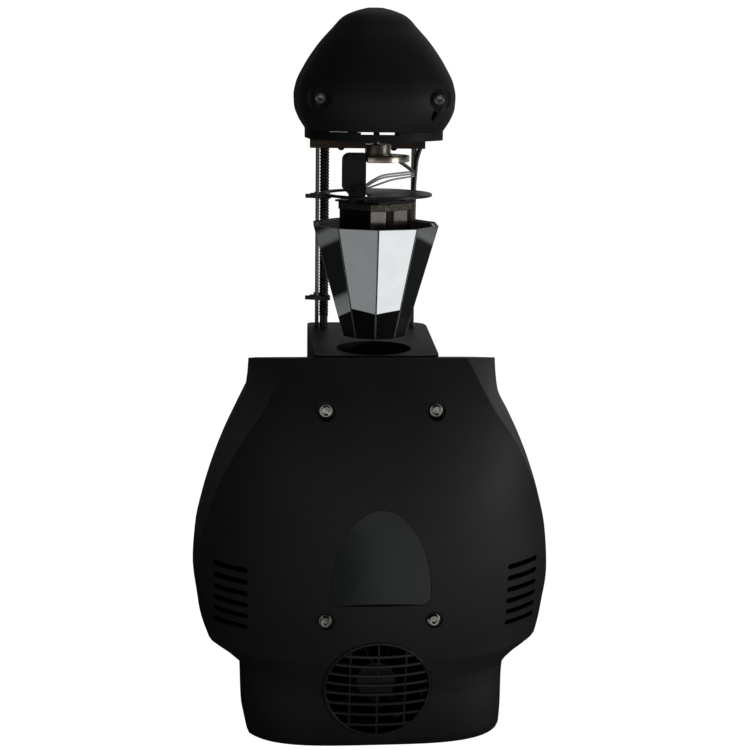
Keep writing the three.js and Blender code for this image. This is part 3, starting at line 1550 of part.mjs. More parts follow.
addSolid("base_pan", basePanSolid(), materials.blackMetal);
const footGeometry = geometryFrom(footSolid());
const footRow = rowAt(housing, 0);
const footX = housing.halfWidth * footRow.width - feet.sideInset;
const footFrontY = feet.frontInset - housing.frontReach * footRow.front;
const footRearY = housing.rearReach * footRow.rear - feet.rearInset;
for (const [name, x, y] of [
  ["foot_front_left", -footX, footFrontY],
  ["foot_front_right", footX, footFrontY],
  ["foot_rear_left", -footX, footRearY],
  ["foot_rear_right", footX, footRearY],
]) {
  addNode(name, footGeometry, materials.blackRubber).position.set(x, y, 0);
}
addSolid("chassis_frame", chassisFrame(), materials.zinc);
addSolid("front_shell", frontShell(), materials.blackPlastic);
addSolid("rear_shell", rearShell(), materials.blackPlastic);
addSolid("badge_plate", badgePlate(), materials.badgeInsert);
addSolid("intake_grille", intakeGrille(), materials.blackPlastic);
const screwGeometry = geometryFrom(shellScrewSolid());
for (const { name, x, z } of shellScrewPlaces) {
  const screw = addNode(name, screwGeometry, materials.blackMetal);
  screw.position.set(x, screwSeatY(x, z) - clearance, z);
  screw.rotation.x = Math.PI / 2;
}
addSolid("fan_frame", fanFrame(), materials.blackPlastic);
addSolid("fan_rotor", fanRotor(), materials.blackPlastic);
addSolid("neck_deck", neckDeck(), materials.blackPlastic);
addSolid("output_lens", lensSolid(), materials.glass);
addSolid("side_bar_left", sideBarSolid(-1), materials.steel);
addSolid("side_bar_right", sideBarSolid(1), materials.steel);
addSolid("crossbar", crossbarSolid(), materials.darkSteel);
addNode("conduit_hose", hoseGeometry(), materials.blackPlastic);
addSolid("cable_tie_upper", cableTieSolid(trayZ - cableTie.upperDrop), materials.blackPlastic);
addSolid("cable_tie_lower", cableTieSolid(deckZ + cableTie.lowerRise), materials.blackPlastic);
addNode("motor_lead", leadGeometry(), materials.greyWire);
addSolid("cap_tray", capTray(), materials.blackMetal);
addSolid("cap_hood", capHood(), materials.blackPlastic);
for (const [name, side] of [["cap_screw_left", -1], ["cap_screw_right", 1]]) {
  const screw = addNode(name, screwGeometry, materials.blackMetal);
  screw.position.set(side * capScrewX, capSeatY - clearance, capScrewZ);
  screw.rotation.x = Math.PI / 2;
}
addSolid("pan_motor", panMotorSolid(), materials.darkSteel);
addSolid("pan_hub", panHubSolid(), materials.steel);
addSolid("pan_arm", panArmSolid(), materials.blackMetal);
addSolid("tilt_pin", tiltPin(), materials.steel);
addSolid("tilt_bracket", tiltBracket(), materials.blackMetal);
addSolid("barrel_motor", barrelMotorSolid(), materials.darkSteel);
addSolid("guard_ring", guardRing(), materials.blackMetal);

const spinning = new THREE.Group();
spinning.position.set(0, axisY, 0);
spinning.rotation.z = barrel.phase;
scanner.add(spinning);
addSolid("mirror_carrier", mirrorCarrier(), materials.darkSteel, spinning);
const mirror = mirrorGeometry();
for (let index = 0; index < barrel.sides; index += 1) {
  const name = `mirror_${String(index + 1).padStart(2, "0")}`;
  const facet = addNode(name, mirror, materials.mirror, spinning);
  facet.rotation.z = halfTurn + halfTurn * 2 * index;
}

addSolid("lamp_reflector", reflectorSolid(), materials.steel);
addSolid("lamp", lampSolid(), materials.ceramic);
addSolid("effects_plate", effectsPlate(), materials.zinc);
addSolid("colour_wheel", wheelSolid(1), materials.zinc);
addSolid("gobo_wheel", wheelSolid(-1), materials.zinc);
addSolid("ballast_box", ballastSolid(), materials.darkSteel);
addSolid("control_panel", controlPanel(), materials.blackMetal);
const buttonGeometry = geometryFrom(buttonSolid());
for (let index = 0; index < button.count; index += 1) {
  const key = addNode(`button_${index + 1}`, buttonGeometry, materials.blackRubber);
  key.position.set(buttonX(index), 0, buttonZ);
}
addSolid("power_inlet", powerInlet(), materials.blackPlastic);
addSolid("signal_sockets", signalSockets(), materials.zinc);

export default scanner;
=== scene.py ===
# Barrel mirror scanner light: finishes, fine surfaces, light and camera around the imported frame
import bpy
import bmesh
import math
import numpy as np
from mathutils import Matrix, Vector


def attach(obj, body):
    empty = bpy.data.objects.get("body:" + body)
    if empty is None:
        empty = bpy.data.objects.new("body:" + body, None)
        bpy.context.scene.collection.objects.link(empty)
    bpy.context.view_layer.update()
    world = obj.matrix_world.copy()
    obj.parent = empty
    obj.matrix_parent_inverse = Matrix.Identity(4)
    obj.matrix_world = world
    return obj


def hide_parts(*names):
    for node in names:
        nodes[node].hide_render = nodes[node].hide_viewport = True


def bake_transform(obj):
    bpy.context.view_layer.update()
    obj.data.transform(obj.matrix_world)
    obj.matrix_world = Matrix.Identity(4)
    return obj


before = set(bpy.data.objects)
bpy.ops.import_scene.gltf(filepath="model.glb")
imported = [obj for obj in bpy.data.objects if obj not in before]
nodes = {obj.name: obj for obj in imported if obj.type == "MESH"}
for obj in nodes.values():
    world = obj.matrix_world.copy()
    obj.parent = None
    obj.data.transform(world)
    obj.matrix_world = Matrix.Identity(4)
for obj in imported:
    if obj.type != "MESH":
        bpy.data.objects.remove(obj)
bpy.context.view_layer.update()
mm = 0.001
axisY = -20  # the pan axis and the barrel, mm
gap = 0.3  # between pieces that fit together, mm
print("frame loaded:", len(nodes), "nodes")

# camera: place in mm, the lens as its focal length in pixels of the 750 px frame, angles in degrees
cameraPlan = {"x": -122.5, "y": -1490.0, "z": 674.0, "focalPx": 1482.0, "framePx": 750,
              "turn": 4.835, "down": 11.8, "roll": 0.8, "sensor": 36.0, "clip": (0.05, 60)}


def placeCamera(plan):
    turn, down, roll = (math.radians(plan[key]) for key in ("turn", "down", "roll"))
    ahead = Vector((math.sin(turn) * math.cos(down), math.cos(turn) * math.cos(down), -math.sin(down)))
    beside = Vector((math.cos(turn), -math.sin(turn), 0))
    upright = beside.cross(ahead)
    right = beside * math.cos(roll) + upright * math.sin(roll)
    up = upright * math.cos(roll) - beside * math.sin(roll)
    data = bpy.data.cameras.new("studioCamera")
    data.sensor_width = plan["sensor"]
    data.lens = plan["focalPx"] / plan["framePx"] * plan["sensor"]
    data.clip_start, data.clip_end = plan["clip"]
    camera = bpy.data.objects.new("studioCamera", data)
    bpy.context.scene.collection.objects.link(camera)
    place = Vector((plan["x"], plan["y"], plan["z"])) * mm
    camera.matrix_world = Matrix.Translation(place) @ Matrix((right, up, -ahead)).transposed().to_4x4()
    bpy.context.scene.camera = camera


placeCamera(cameraPlan)


# nodes and colours
def paint(code):
    # sRGB hex to linear light
    parts = [int(code[i:i + 2], 16) / 255 for i in (1, 3, 5)]
    return (*[p / 12.92 if p <= 0.04045 else ((p + 0.055) / 1.055) ** 2.4 for p in parts], 1.0)


def addNode(tree, kind, inputs=None, **settings):
    # one shader node with its settings; an input is a value, a node's output, or a node for its first output
    node = tree.nodes.new("ShaderNode" + kind)
    for key, value in settings.items():
        setattr(node, key, value)
    for key, value in (inputs or {}).items():
        if isinstance(value, bpy.types.Node):
            value = value.outputs[0]
        if isinstance(value, bpy.types.NodeSocket):
            tree.links.new(value, node.inputs[key])
        else:
            node.inputs[key].default_value = value
    return node


# a pattern's parts where a finish says nothing else: size in mm, stretch by axis, centre in mm for rings
plainPattern = {"kind": "TexNoise", "size": 20.0, "stretch": (1, 1, 1), "axis": (0, 0, 0),
                "inputs": {}, "settings": {}, "output": 0, "from": (0.3, 0.7)}


def makeFinish(name, shader, first, second, smooth, rough, tint, relief, depth, edge):
    # a principled material: one pattern carries the first colour and roughness into the second, another is a
    # relief of so many mm, and edges look rounded by a radius in mm
    material = bpy.data.materials.new(name)
    material.use_nodes = True
    tree = material.node_tree
    surface = tree.nodes["Principled BSDF"]
    for key, value in shader.items():
        surface.inputs[key].default_value = value
    coords = addNode(tree, "TexCoord").outputs["Object"]
    shares = []
    for changes in (tint, relief):
        pattern = {**plainPattern, **changes}
        scale = [stretch / (pattern["size"] * mm) for stretch in pattern["stretch"]]
        shift = [-place * mm * each for place, each in zip(pattern["axis"], scale)]
        spot = addNode(tree, "Mapping", {"Vector": coords, "Scale": scale, "Location": shift})
        inputs = {"Vector": spot, "Scale": 1.0, **pattern["inputs"]}
        texture = addNode(tree, pattern["kind"], inputs, **pattern["settings"])
        low, high = pattern["from"]
        share = addNode(tree, "MapRange",
                        {"Value": texture.outputs[pattern["output"]], "From Min": low, "From Max": high})
        shares.append(share)
    colour = addNode(tree, "Mix", {"Factor": shares[0], "A": paint(first), "B": paint(second)},
                     data_type="RGBA")
    roughness = addNode(tree, "MapRange", {"Value": shares[0], "To Min": smooth, "To Max": rough})
    rounded = addNode(tree, "Bevel", {"Radius": edge * mm}, samples=4)
    raised = addNode(tree, "Bump", {"Height": shares[1], "Distance": depth * mm, "Normal": rounded})
    tree.links.new(colour.outputs["Result"], surface.inputs["Base Color"])
    tree.links.new(roughness.outputs[0], surface.inputs["Roughness"])
    tree.links.new(raised.outputs[0], surface.inputs["Normal"])
    return material


# shader settings shared by several finishes: IOR from tables of plastics and glass; metals keep the default
glossAbs = {"IOR": 1.53, "Specular IOR Level": 0.3}
dullAbs = {"IOR": 1.53, "Specular IOR Level": 0.2}
pbt = {"IOR": 1.55, "Specular IOR Level": 0.25}
acrylic = {"IOR": 1.49, "Specular IOR Level": 0.3}
coat = {"IOR": 1.5, "Specular IOR Level": 0.25}
jacket = {"IOR": 1.53}
metal = {"Metallic": 1.0}
brushed = {"Metallic": 1.0, "Anisotropic": 0.5}
# patterns shared by several finishes
grain = {"size": 0.9, "inputs": {"Detail": 3.0, "Roughness": 0.6}}
cloud = {"size": 70.0}
peel = {"size": 1.5, "inputs": {"Detail": 2.0, "Roughness": 0.45}}
dust = {"size": 24.0, "inputs": {"Detail": 4.0, "Roughness": 0.6}}
flow = {"size": 4.0, "inputs": {"Detail": 4.0}}
lumps = {"size": 4.0}
wavy = {"size": 60.0}
patches = {"size": 5.0}
streaks = {"size": 2.5}
linesUp = {"size": 0.3, "stretch": (1, 1, 0.02), "inputs": {"Detail": 3.0}}
linesAcross = {"size": 0.3, "stretch": (0.02, 1, 1), "inputs": {"Detail": 3.0}}
latheRings = {"kind": "TexWave", "size": 1.6, "axis": (0, axisY, 0), "from": (0, 1),
              "inputs": {"Distortion": 0.4}, "settings": {"wave_type": "RINGS", "rings_direction": "Z"}}
sheetStack = {"kind": "TexWave", "size": 3.2, "from": (0, 1), "inputs": {"Distortion": 0.6},
              "settings": {"bands_direction": "Z"}}
spangle = {"kind": "TexVoronoi", "size": 7.0, "from": (0, 1), "output": 1}
peening = {"kind": "TexVoronoi", "size": 5.0, "from": (0, 1)}

# each row: material, shader, two colours, two roughnesses, tint, relief, depth of relief, radius of edges
finishRows = {
    # black ABS from a spark-eroded mould: an even fine grain, drawn coarser than the real 0.2 mm to show
    "housing": ("sparkErodedAbs", dullAbs, "#1c1c1d", "#212122", 0.52, 0.62, cloud, grain, 0.05, 0.7),
    # the cap's ABS, a little more matt
    "cap": ("capAbs", dullAbs, "#151516", "#1a1a1b", 0.55, 0.65, cloud, grain, 0.05, 0.7),
    # the grille's ABS, half gloss
    "grille": ("grilleAbs", glossAbs, "#1b1b1b", "#222222", 0.42, 0.52, cloud, grain, 0.04, 0.4),
    # glass-filled PBT of the fan, smoother and darker
    "fanPlastic": ("fanPbt", pbt, "#060607", "#0b0b0c", 0.38, 0.5, dust, peel, 0.04, 0.3),
    # black polyester powder coat on steel: slight orange peel, half gloss
    "powder": ("powderCoatedSteel", coat, "#0a0a0b", "#111112", 0.36, 0.48, dust, peel, 0.06, 0.4),
    # the cap's tray sheet, dull: its deeper black than the powder coat is painted shade for the shadow under
    # the cap
    "tray": ("trayPaintedShade", coat, "#060606", "#0b0b0b", 0.6, 0.7, dust, peel, 0.03, 0.3),
    # keys in grey-black ABS, silky from use
    "keys": ("keyAbs", glossAbs, "#2a2b2c", "#333435", 0.4, 0.5, cloud, grain, 0.04, 0.3),
    # nylon of the cable ties, half gloss
    "nylon": ("nylonTie", jacket, "#0d0d0e", "#161618", 0.32, 0.44, dust, peel, 0.04, 0.2),
    # stainless strip drawn through rollers: fine lines that run up the bar
    "bars": ("brushedStainless", brushed, "#5f5a52", "#7d776d", 0.24, 0.36, linesUp, linesUp, 0.02, 0.3),
    # drawn steel bar, faintly brown from heat
    "crossbar": ("drawnBar", brushed, "#2c2622", "#443b34", 0.26, 0.4, linesAcross, linesAcross, 0.02, 0.4),
    # stainless turned on a lathe: rings round the pan axis from the tool's feed
    "turned": ("turnedStainless", metal, "#7a7166", "#978e83", 0.18, 0.28, dust, latheRings, 0.015, 0.4),
    # zinc-plated steel sheet: soft spangles
    "zinc": ("zincPlatedSheet", metal, "#85898a", "#a3a7a8", 0.32, 0.48, spangle, peel, 0.02, 0.3),
    # acrylic with a dark bluish back print, moulded glossy
    "badge": ("darkAcrylic", acrylic, "#0e1213", "#161c1e", 0.22, 0.3, cloud, cloud, 0.08, 0.3),
    # float glass silvered on the front: almost no roughness, a trace of dust and a very slight waviness
    "mirror": ("frontSilveredGlass", metal, "#dfe4e6", "#e9edee", 0.01, 0.035, dust, wavy, 0.01, 0.0),
    # ground edges of the glass: grey green, frosted
    "groundEdge": ("groundGlassEdge", {"IOR": 1.52}, "#56625f", "#8d9995", 0.3, 0.5, peel, peel, 0.02, 0.1),
    # borosilicate lens: clear, faintly green where it is thick
    "lens": ("borosilicateLens", {"IOR": 1.47, "Transmission Weight": 1.0}, "#eaf4f1", "#f6fbfa", 0.01, 0.05,
             dust, cloud, 0.0, 0.2),
    # natural rubber filled with carbon black: matt, with a greyish bloom
    "rubber": ("blackRubber", {"IOR": 1.52}, "#131313", "#202020", 0.75, 0.92, patches, peel, 0.08, 0.4),
    # glazed lamp ceramic: off-white with small specks
    "ceramic": ("lampCeramic", {"IOR": 1.6}, "#cbc5b6", "#e8e3d8", 0.35, 0.5,
                {"size": 1.2, "from": (0.2, 0.5)}, peel, 0.03, 0.3),
    # anodised reflector, pressed with shallow dimples to even out the beam
    "bowl": ("peenedAluminium", metal, "#d8dadb", "#eceded", 0.1, 0.14, peening, peening, 0.5, 0.2),
    # stack of motor laminations, drawn 1 mm apart, lacquered dark with brown at the edges
    "stack": ("motorLaminations", {"Metallic": 0.85}, "#1b1613", "#332b25", 0.22, 0.42,
              {"size": 8.0, "inputs": {"Detail": 4.0}}, sheetStack, 0.05, 0.3),
    # die-cast aluminium, tumbled: bright grey with faint flow marks
    "casting": ("dieCastAluminium", metal, "#4b4640", "#6a645d", 0.22, 0.34, flow, lumps, 0.03, 0.4),
    # brighter steel strips on the motor's stack: a painted highlight where the light falls on its right-hand
    # faces
    "polished": ("steelPaintedHighlight", metal, "#8c8680", "#a49f98", 0.14, 0.24, linesUp, linesUp, 0.01, 0.2),
    # nickel-plated screws with a turned face
    "screw": ("nickelScrew", metal, "#6c6965", "#95928d", 0.12, 0.22, dust, peel, 0.02, 0.3),
    # PVC sheath, extruded smooth
    "sheath": ("blackSheath", jacket, "#101010", "#1b1b1b", 0.34, 0.5, streaks, peel, 0.02, 0.2),
    # pale grey PVC wire jackets
    "greyWire": ("greyJacket", jacket, "#a5a29c", "#c2bfb9", 0.34, 0.5, streaks, peel, 0.02, 0.1),
    # galvanised and blackened conduit, half gloss
    "conduit": ("darkConduit", {"Metallic": 0.7}, "#2c2824", "#4b453e", 0.26, 0.4, {"size": 6.0}, peel,
                0.02, 0.2),
    # cast carrier behind the mirrors
    "carrier": ("carrierAlloy", metal, "#6e6963", "#98938b", 0.24, 0.4, flow, lumps, 0.03, 0.3),
}
finishes = {name: makeFinish(*row) for name, row in finishRows.items()}
print("finishes made:", len(finishes))


# meshes
def meshObject(name, points, faces):
    # points in mm, faces as an index array; both stay flat arrays
    mesh = bpy.data.meshes.new(name)
    mesh.from_pydata((np.asarray(points, float).reshape(-1, 3) * mm).tolist(), [], np.asarray(faces).tolist())
    piece = bpy.data.objects.new(name, mesh)
    bpy.context.scene.collection.objects.link(piece)
    return piece


def gridFaces(rows, columns, wrapRows, wrapColumns, first=0):
    # quads between neighbours on a grid of rows and columns, joined at the ends where they wrap
    r = np.arange(rows if wrapRows else rows - 1)[:, None]
    c = np.arange(columns if wrapColumns else columns - 1)[None, :]
    nextR, nextC = (r + 1) % rows, (c + 1) % columns
    quads = np.stack([r * columns + c, r * columns + nextC, nextR * columns + nextC, nextR * columns + c], -1)
    return quads.reshape(-1, 4) + first


def smoothed(solid, piece, sharp):
    # smooth shading but for the sharp edges, and the result back in the piece
    for edge in solid.edges:
        edge.smooth = edge.is_manifold and edge.calc_face_angle(0) < math.radians(sharp)
    for face in solid.faces:
        face.smooth = True
    solid.to_mesh(piece.data)
    solid.free()


def tidy(piece, sharp=32, weld=0.002):
    # welds poles and seams, turns faces outwards and smooths all but the sharp edges
    solid = bmesh.new()
    solid.from_mesh(piece.data)
    bmesh.ops.remove_doubles(solid, verts=solid.verts, dist=weld * mm)
    bmesh.ops.recalc_face_normals(solid, faces=solid.faces)
    smoothed(solid, piece, sharp)
    return piece


def surfaces(name, grids, sharp=32):
    # several grids in one piece: each is (points as rows x columns x 3, wraps by rows, wraps by columns)
    allPoints, allFaces, first = [], [], 0
    for points, wrapRows, wrapColumns in grids:
        rows, columns = points.shape[:2]
        allPoints.append(points.reshape(-1, 3))
        allFaces.append(gridFaces(rows, columns, wrapRows, wrapColumns, first))
        first += rows * columns
    return tidy(meshObject(name, np.concatenate(allPoints), np.concatenate(allFaces)), sharp)


def finished(piece, finish, body, slot, *replaced):
    if finish:
        piece.data.materials.clear()
        piece.data.materials.append(finishes[finish])
    if body:
        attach(piece, body)
    if replaced:
        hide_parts(*replaced)
    return piece


def spun(profile, sides, centre=(0, 0, 0), axis="z"):
    # a profile of (radius, height) turned round its axis: x = r cos a, y = r sin a, z = h
    profile = np.asarray(profile, float)
    angle = np.linspace(0, 2 * np.pi, sides, endpoint=False)
    x = profile[:, :1] * np.cos(angle)
    y = profile[:, :1] * np.sin(angle)
    z = np.repeat(profile[:, 1:], sides, 1)
    order = {"z": (x, y, z), "y": (x, -z, y)}[axis]
    return np.stack(order, -1) + np.asarray(centre, float), False, True


def roundProfile(points, radii, steps=4):
    # each corner of an open profile eased by a quadratic curve that starts and ends a radius away
    points = np.asarray(points, float)
    out = [points[:1]]
    t = np.linspace(0, 1, steps)[:, None]
    for before, corner, after, radius in zip(points[:-2], points[1:-1], points[2:], radii):
        if radius <= 0:
            out.append(corner[None])
            continue
        back = (before - corner) / np.linalg.norm(before - corner)
        on = (after - corner) / np.linalg.norm(after - corner)
        start, end = corner + back * radius, corner + on * radius
        out.append((1 - t) ** 2 * start + 2 * t * (1 - t) * corner + t ** 2 * end)
    out.append(points[-1:])
    return np.concatenate(out)


def swept(path, section, up=(0, 0, 1)):
    # a section of (side, rise) carried along a path, square to it: p + side * across + rise * over
    path = np.asarray(path, float)
    ahead = np.gradient(path, axis=0)
    ahead /= np.linalg.norm(ahead, axis=1, keepdims=True)
    across = np.cross(ahead, np.asarray(up, float))
    across /= np.linalg.norm(across, axis=1, keepdims=True)
    over = np.cross(across, ahead)
    section = np.asarray(section, float)
    return (path[:, None] + section[None, :, :1] * across[:, None] + section[None, :, 1:] * over[:, None])


def closedTube(points):
    # the two ends of a tube drawn in to their middles, so that it closes
    first, last = points[:1].mean(1, keepdims=True), points[-1:].mean(1, keepdims=True)
    width = points.shape[1]
    return np.concatenate([np.repeat(first, width, 1), points, np.repeat(last, width, 1)]), False, True


def circle(radius, sides=64, x=0, z=0):
    angle = np.linspace(0, 2 * np.pi, sides, endpoint=False)
    return np.stack([x + radius * np.cos(angle), z + radius * np.sin(angle)], 1)


def softRectangle(width, height, power=5, sides=20):
    # a rectangle with round corners as a superellipse: |x/a|^n + |y/b|^n = 1
    angle = np.linspace(0, 2 * np.pi, sides, endpoint=False)
    cos, sin = np.cos(angle), np.sin(angle)
    return np.stack([width / 2 * np.sign(cos) * np.abs(cos) ** (2 / power),
                     height / 2 * np.sign(sin) * np.abs(sin) ** (2 / power)], 1)


def splined(points, count, fine=400):
    # Catmull-Rom curve through the points, spaced evenly by length
    points = np.asarray(points, float)
    padded = np.concatenate([2 * points[:1] - points[1:2], points, 2 * points[-1:] - points[-2:-1]])
    t = np.linspace(0, len(points) - 1, fine)
    i = np.minimum(t.astype(int), len(points) - 2)
    f = (t - i)[:, None]
    a, b, c, d = (padded[i + k] for k in range(4))
    bend, twist = 2 * a - 5 * b + 4 * c - d, 3 * b - a - 3 * c + d
    curve = 0.5 * (2 * b + (c - a) * f + bend * f ** 2 + twist * f ** 3)
    length = np.concatenate([[0], np.cumsum(np.linalg.norm(np.diff(curve, axis=0), axis=1))])
    even = np.linspace(0, length[-1], count)
    return np.stack([np.interp(even, length, curve[:, k]) for k in range(3)], 1)


def combined(piece, cutter, operation):
    # exact boolean with its result kept as the piece's own mesh
    change = piece.modifiers.new("change", "BOOLEAN")
    change.operation, change.object, change.solver = operation, cutter, "EXACT"
    shape = bpy.data.meshes.new_from_object(piece.evaluated_get(bpy.context.evaluated_depsgraph_get()))
    piece.modifiers.clear()
    old, piece.data = piece.data, shape
    bpy.data.meshes.remove(old)
    bpy.data.objects.remove(cutter)


def softened(name, finish, slot, edge, body="base", sharp=32, segments=2, weld=0.004, flat=1):
    # a welded copy of a CAD node with its edges eased, in place of the node
    piece = bpy.data.objects.new("fine_" + name, nodes[name].data.copy())
    bpy.context.scene.collection.objects.link(piece)
    solid = bmesh.new()
    solid.from_mesh(piece.data)
    bmesh.ops.remove_doubles(solid, verts=solid.verts, dist=weld * mm)
    bmesh.ops.dissolve_limit(solid, angle_limit=math.radians(flat), verts=solid.verts, edges=solid.edges)
    smoothed(solid, piece, sharp)
    if edge > 0:
        ease = piece.modifiers.new("ease", "BEVEL")
        ease.width, ease.segments, ease.limit_method = edge * mm, segments, "ANGLE"
        ease.angle_limit = math.radians(sharp)
        ease.use_clamp_overlap = True
        ease.harden_normals = False
    return finished(piece, finish, body, slot, name)


# moulded forms: rows of (rise, half width, front reach, rear reach, crease, spread) as shares; side is the
# share of the reach where the side wall runs straight, foot the share of the height where the plan is fuller
def eased(rows, rise):
    # monotone cubic through the rows: a row's slope is the harmonic mean of the chords beside it, or none
    knots, values = rows[:, 0], rows[:, 1:]
    step = np.diff(knots)
    chord = np.diff(values, axis=0) / step[:, None]
    a, b = (2 * step[1:] + step[:-1])[:, None], (step[1:] + 2 * step[:-1])[:, None]
    same = chord[:-1] * chord[1:] > 0
    safe = np.where(same, chord[:-1], 1), np.where(same, chord[1:], 1)
    slope = np.concatenate([chord[:1], np.where(same, (a + b) / (a / safe[0] + b / safe[1]), 0), chord[-1:]])
    i = np.clip(np.searchsorted(knots, rise, "right") - 1, 0, len(step) - 1)
    t = ((rise - knots[i]) / step[i])[..., None]
    low, high, run = values[i], values[i + 1], step[i][..., None]
    return ((1 + 2 * t) * (1 - t) ** 2 * low + t * (1 - t) ** 2 * run * slope[i]
            + t * t * (3 - 2 * t) * high + t * t * (t - 1) * run * slope[i + 1])


housing = {
    "halfWidth": 185, "front": 150.5, "rear": 150, "base": 4, "height": 396, "wall": 3, "side": 0.12,
    "top": 380, "fall": 10.8, "rearCrease": 0.93, "rearSpread": 1.04, "fullness": 2.3, "footFullness": 3.6,
    "rearFullness": 4, "foot": 0.14, "middleY": 0, "seam": 0.15, "cutOver": 4,
    "inside": {"low": 0, "count": 60, "steps": (4, 8, 30)}, "sharp": 30,
    "rows": np.array([
        [0, 0.722, 0.735, 0.94, 0.955, 1.03], [0.02, 0.735, 0.765, 0.955, 0.955, 1.03],
        [0.14, 0.744, 0.792, 0.969, 0.955, 1.03], [0.178, 0.752, 0.822, 0.982, 0.955, 1.03],
        [0.21, 0.826, 0.847, 0.99, 0.955, 1.03], [0.25, 0.946, 0.877, 0.996, 0.955, 1.03],
        [0.34, 0.982, 0.931, 1, 0.955, 1.03], [0.418, 1, 0.965, 1, 0.955, 1.03],
        [0.506, 0.987, 0.993, 1, 0.955, 1.03], [0.59, 0.947, 1, 1, 0.953, 1.055],
        [0.672, 0.893, 0.987, 1, 0.945, 1.12], [0.75, 0.828, 0.95, 1, 0.925, 1.22],
        [0.815, 0.762, 0.903, 1, 0.9, 1.32], [0.876, 0.7, 0.842, 0.985, 0.85, 1.4],
        [0.94, 0.685, 0.745, 0.96, 0.76, 1.42], [1, 0.68, 0.63, 0.93, 0.67, 1.43]]),
}
cap = {
    "halfWidth": 80.5, "front": 92, "rear": 118, "base": 611.2, "height": 118.6, "wall": 2.5, "side": 0.1,
    "rearCrease": 0.95, "rearSpread": 1.03, "fullness": 2.5, "footFullness": 2.5, "rearFullness": 7,
    "foot": 0.19, "middleY": 18, "sharp": 30, "inside": {"top": 0.93, "count": 40, "steps": (3, 6, 20)},
    "rows": np.array([
        [0, 0.858, 0.86, 0.95, 0.95, 1.03], [0.1, 0.947, 0.94, 0.985, 0.95, 1.03],
        [0.19, 0.993, 0.985, 1, 0.95, 1.03], [0.28, 1, 1, 1, 0.95, 1.03],
        [0.38, 0.973, 0.983, 0.983, 0.95, 1.03], [0.52, 0.875, 0.905, 0.905, 0.95, 1.03],
        [0.71, 0.687, 0.735, 0.735, 0.95, 1.03], [0.835, 0.522, 0.575, 0.575, 0.95, 1.03],
        [0.93, 0.385, 0.43, 0.42, 0.95, 1.03], [0.98, 0.215, 0.25, 0.24, 0.95, 1.03],
        [1, 0.1, 0.12, 0.11, 0.95, 1.03]]),
}


def reach(form, side, rise, x, inset):
    # distance from the seam to the face: full reach * (1 - |x / spread width|^n)^(1/n), where n turns from
    # the foot's into the face's between half the foot's height and twice it
    row = eased(form["rows"], rise)
    halfWidth = form["halfWidth"] * row[..., 0] - inset
    full = (form["front"] * row[..., 1] if side < 0 else form["rear"] * row[..., 2]) - inset
    widening = row[..., 4] if side < 0 else form["rearSpread"]
    t = np.clip((rise - form["foot"] / 2) / (form["foot"] * 1.5), 0, 1)
    fullness = form["rearFullness"] if side > 0 else (
        form["footFullness"] + (form["fullness"] - form["footFullness"]) * t * t * (3 - 2 * t))
    across = np.clip(np.abs(x) / (halfWidth * widening), 0, 1)
    return full * (1 - across ** fullness) ** (1 / fullness)


def halfPlan(form, side, rise, inset, steps):
    # right half of a plan for each rise: side wall, chamfer up to the crease, then the face to the middle
    rise = rise[:, None]
    row = eased(form["rows"], rise)
    halfWidth = form["halfWidth"] * row[..., 0] - inset
    crease = halfWidth * (row[..., 3] if side < 0 else form["rearCrease"])
    full = reach(form, side, rise, np.zeros_like(rise), inset)
    wall = np.linspace(0, 1, steps[0])[None, :-1]
    wallX, wallY = halfWidth + wall * 0, full * form["side"] * wall
    blend = np.linspace(0, 1, steps[1])[None, :-1]
    creaseY = reach(form, side, rise, crease, inset)
    blendX = halfWidth + (crease - halfWidth) * blend
    blendY = full * form["side"] + (creaseY - full * form["side"]) * blend
    face = np.cos(np.linspace(0, np.pi / 2, steps[2]))[None, :]
    faceX = crease * face
    faceY = reach(form, side, rise, faceX, inset)
    parts = (wallX, blendX, faceX), (wallY, blendY, faceY)
    plan = np.stack([np.concatenate(part, 1) for part in parts], -1)
    for _ in range(3):  # eases the corners of the plan and keeps its ends
        plan[:, 1:-1] = plan[:, 1:-1] / 2 + (plan[:, :-2] + plan[:, 2:]) / 4
    plan[..., 1] *= side
    return plan


def fullPlan(form, side, rise, inset, steps):
    right = halfPlan(form, side, rise, inset, steps)
    left = right[:, -2::-1] * (-1, 1)
    return np.concatenate([right, left], 1)


def heightsOf(form, count, top=1.0):
    return np.unique(np.concatenate([form["rows"][:, 0], np.linspace(0, 1, count)]).clip(0, top))


def frontFaceY(form, x, z):
    rise = np.clip((np.asarray(z, float) - form["base"]) / form["height"], 0, 1)
    return form["middleY"] - reach(form, -1, rise, np.asarray(x, float), 0)


def housingBody(name, side, inset, seam, low, count=84, steps=(5, 10, 44)):
    # one closed half of the housing from its seam, cut by the falling top
    rise = heightsOf(housing, count)
    plan = fullPlan(housing, side, rise, inset, steps)
    z = np.repeat((housing["base"] + housing["height"] * rise)[:, None], plan.shape[1], 1)
    z[0] = low
    plan[:, [0, -1], 1] = seam
    points = np.concatenate([plan, z[..., None]], -1)
    piece = meshObject(name, points, gridFaces(len(rise), plan.shape[1], False, True))
    solid = bmesh.new()
    solid.from_mesh(piece.data)
    solid.faces.new([v for v in solid.verts[:plan.shape[1]]])
    solid.verts.ensure_lookup_table()
    fall = math.radians(housing["fall"])
    made = bmesh.ops.bisect_plane(solid, geom=solid.verts[:] + solid.edges[:] + solid.faces[:],
                                  plane_co=(0, 0, (housing["top"] - inset) * mm),
                                  plane_no=(0, math.sin(fall), math.cos(fall)), clear_outer=True)
    rim = [e for e in made["geom_cut"] if isinstance(e, bmesh.types.BMEdge)]
    bmesh.ops.edgenet_fill(solid, edges=rim)
    bmesh.ops.recalc_face_normals(solid, faces=solid.faces)
    solid.to_mesh(piece.data)
    solid.free()
    return piece


flatRings = 3  # enough for a block with flat faces


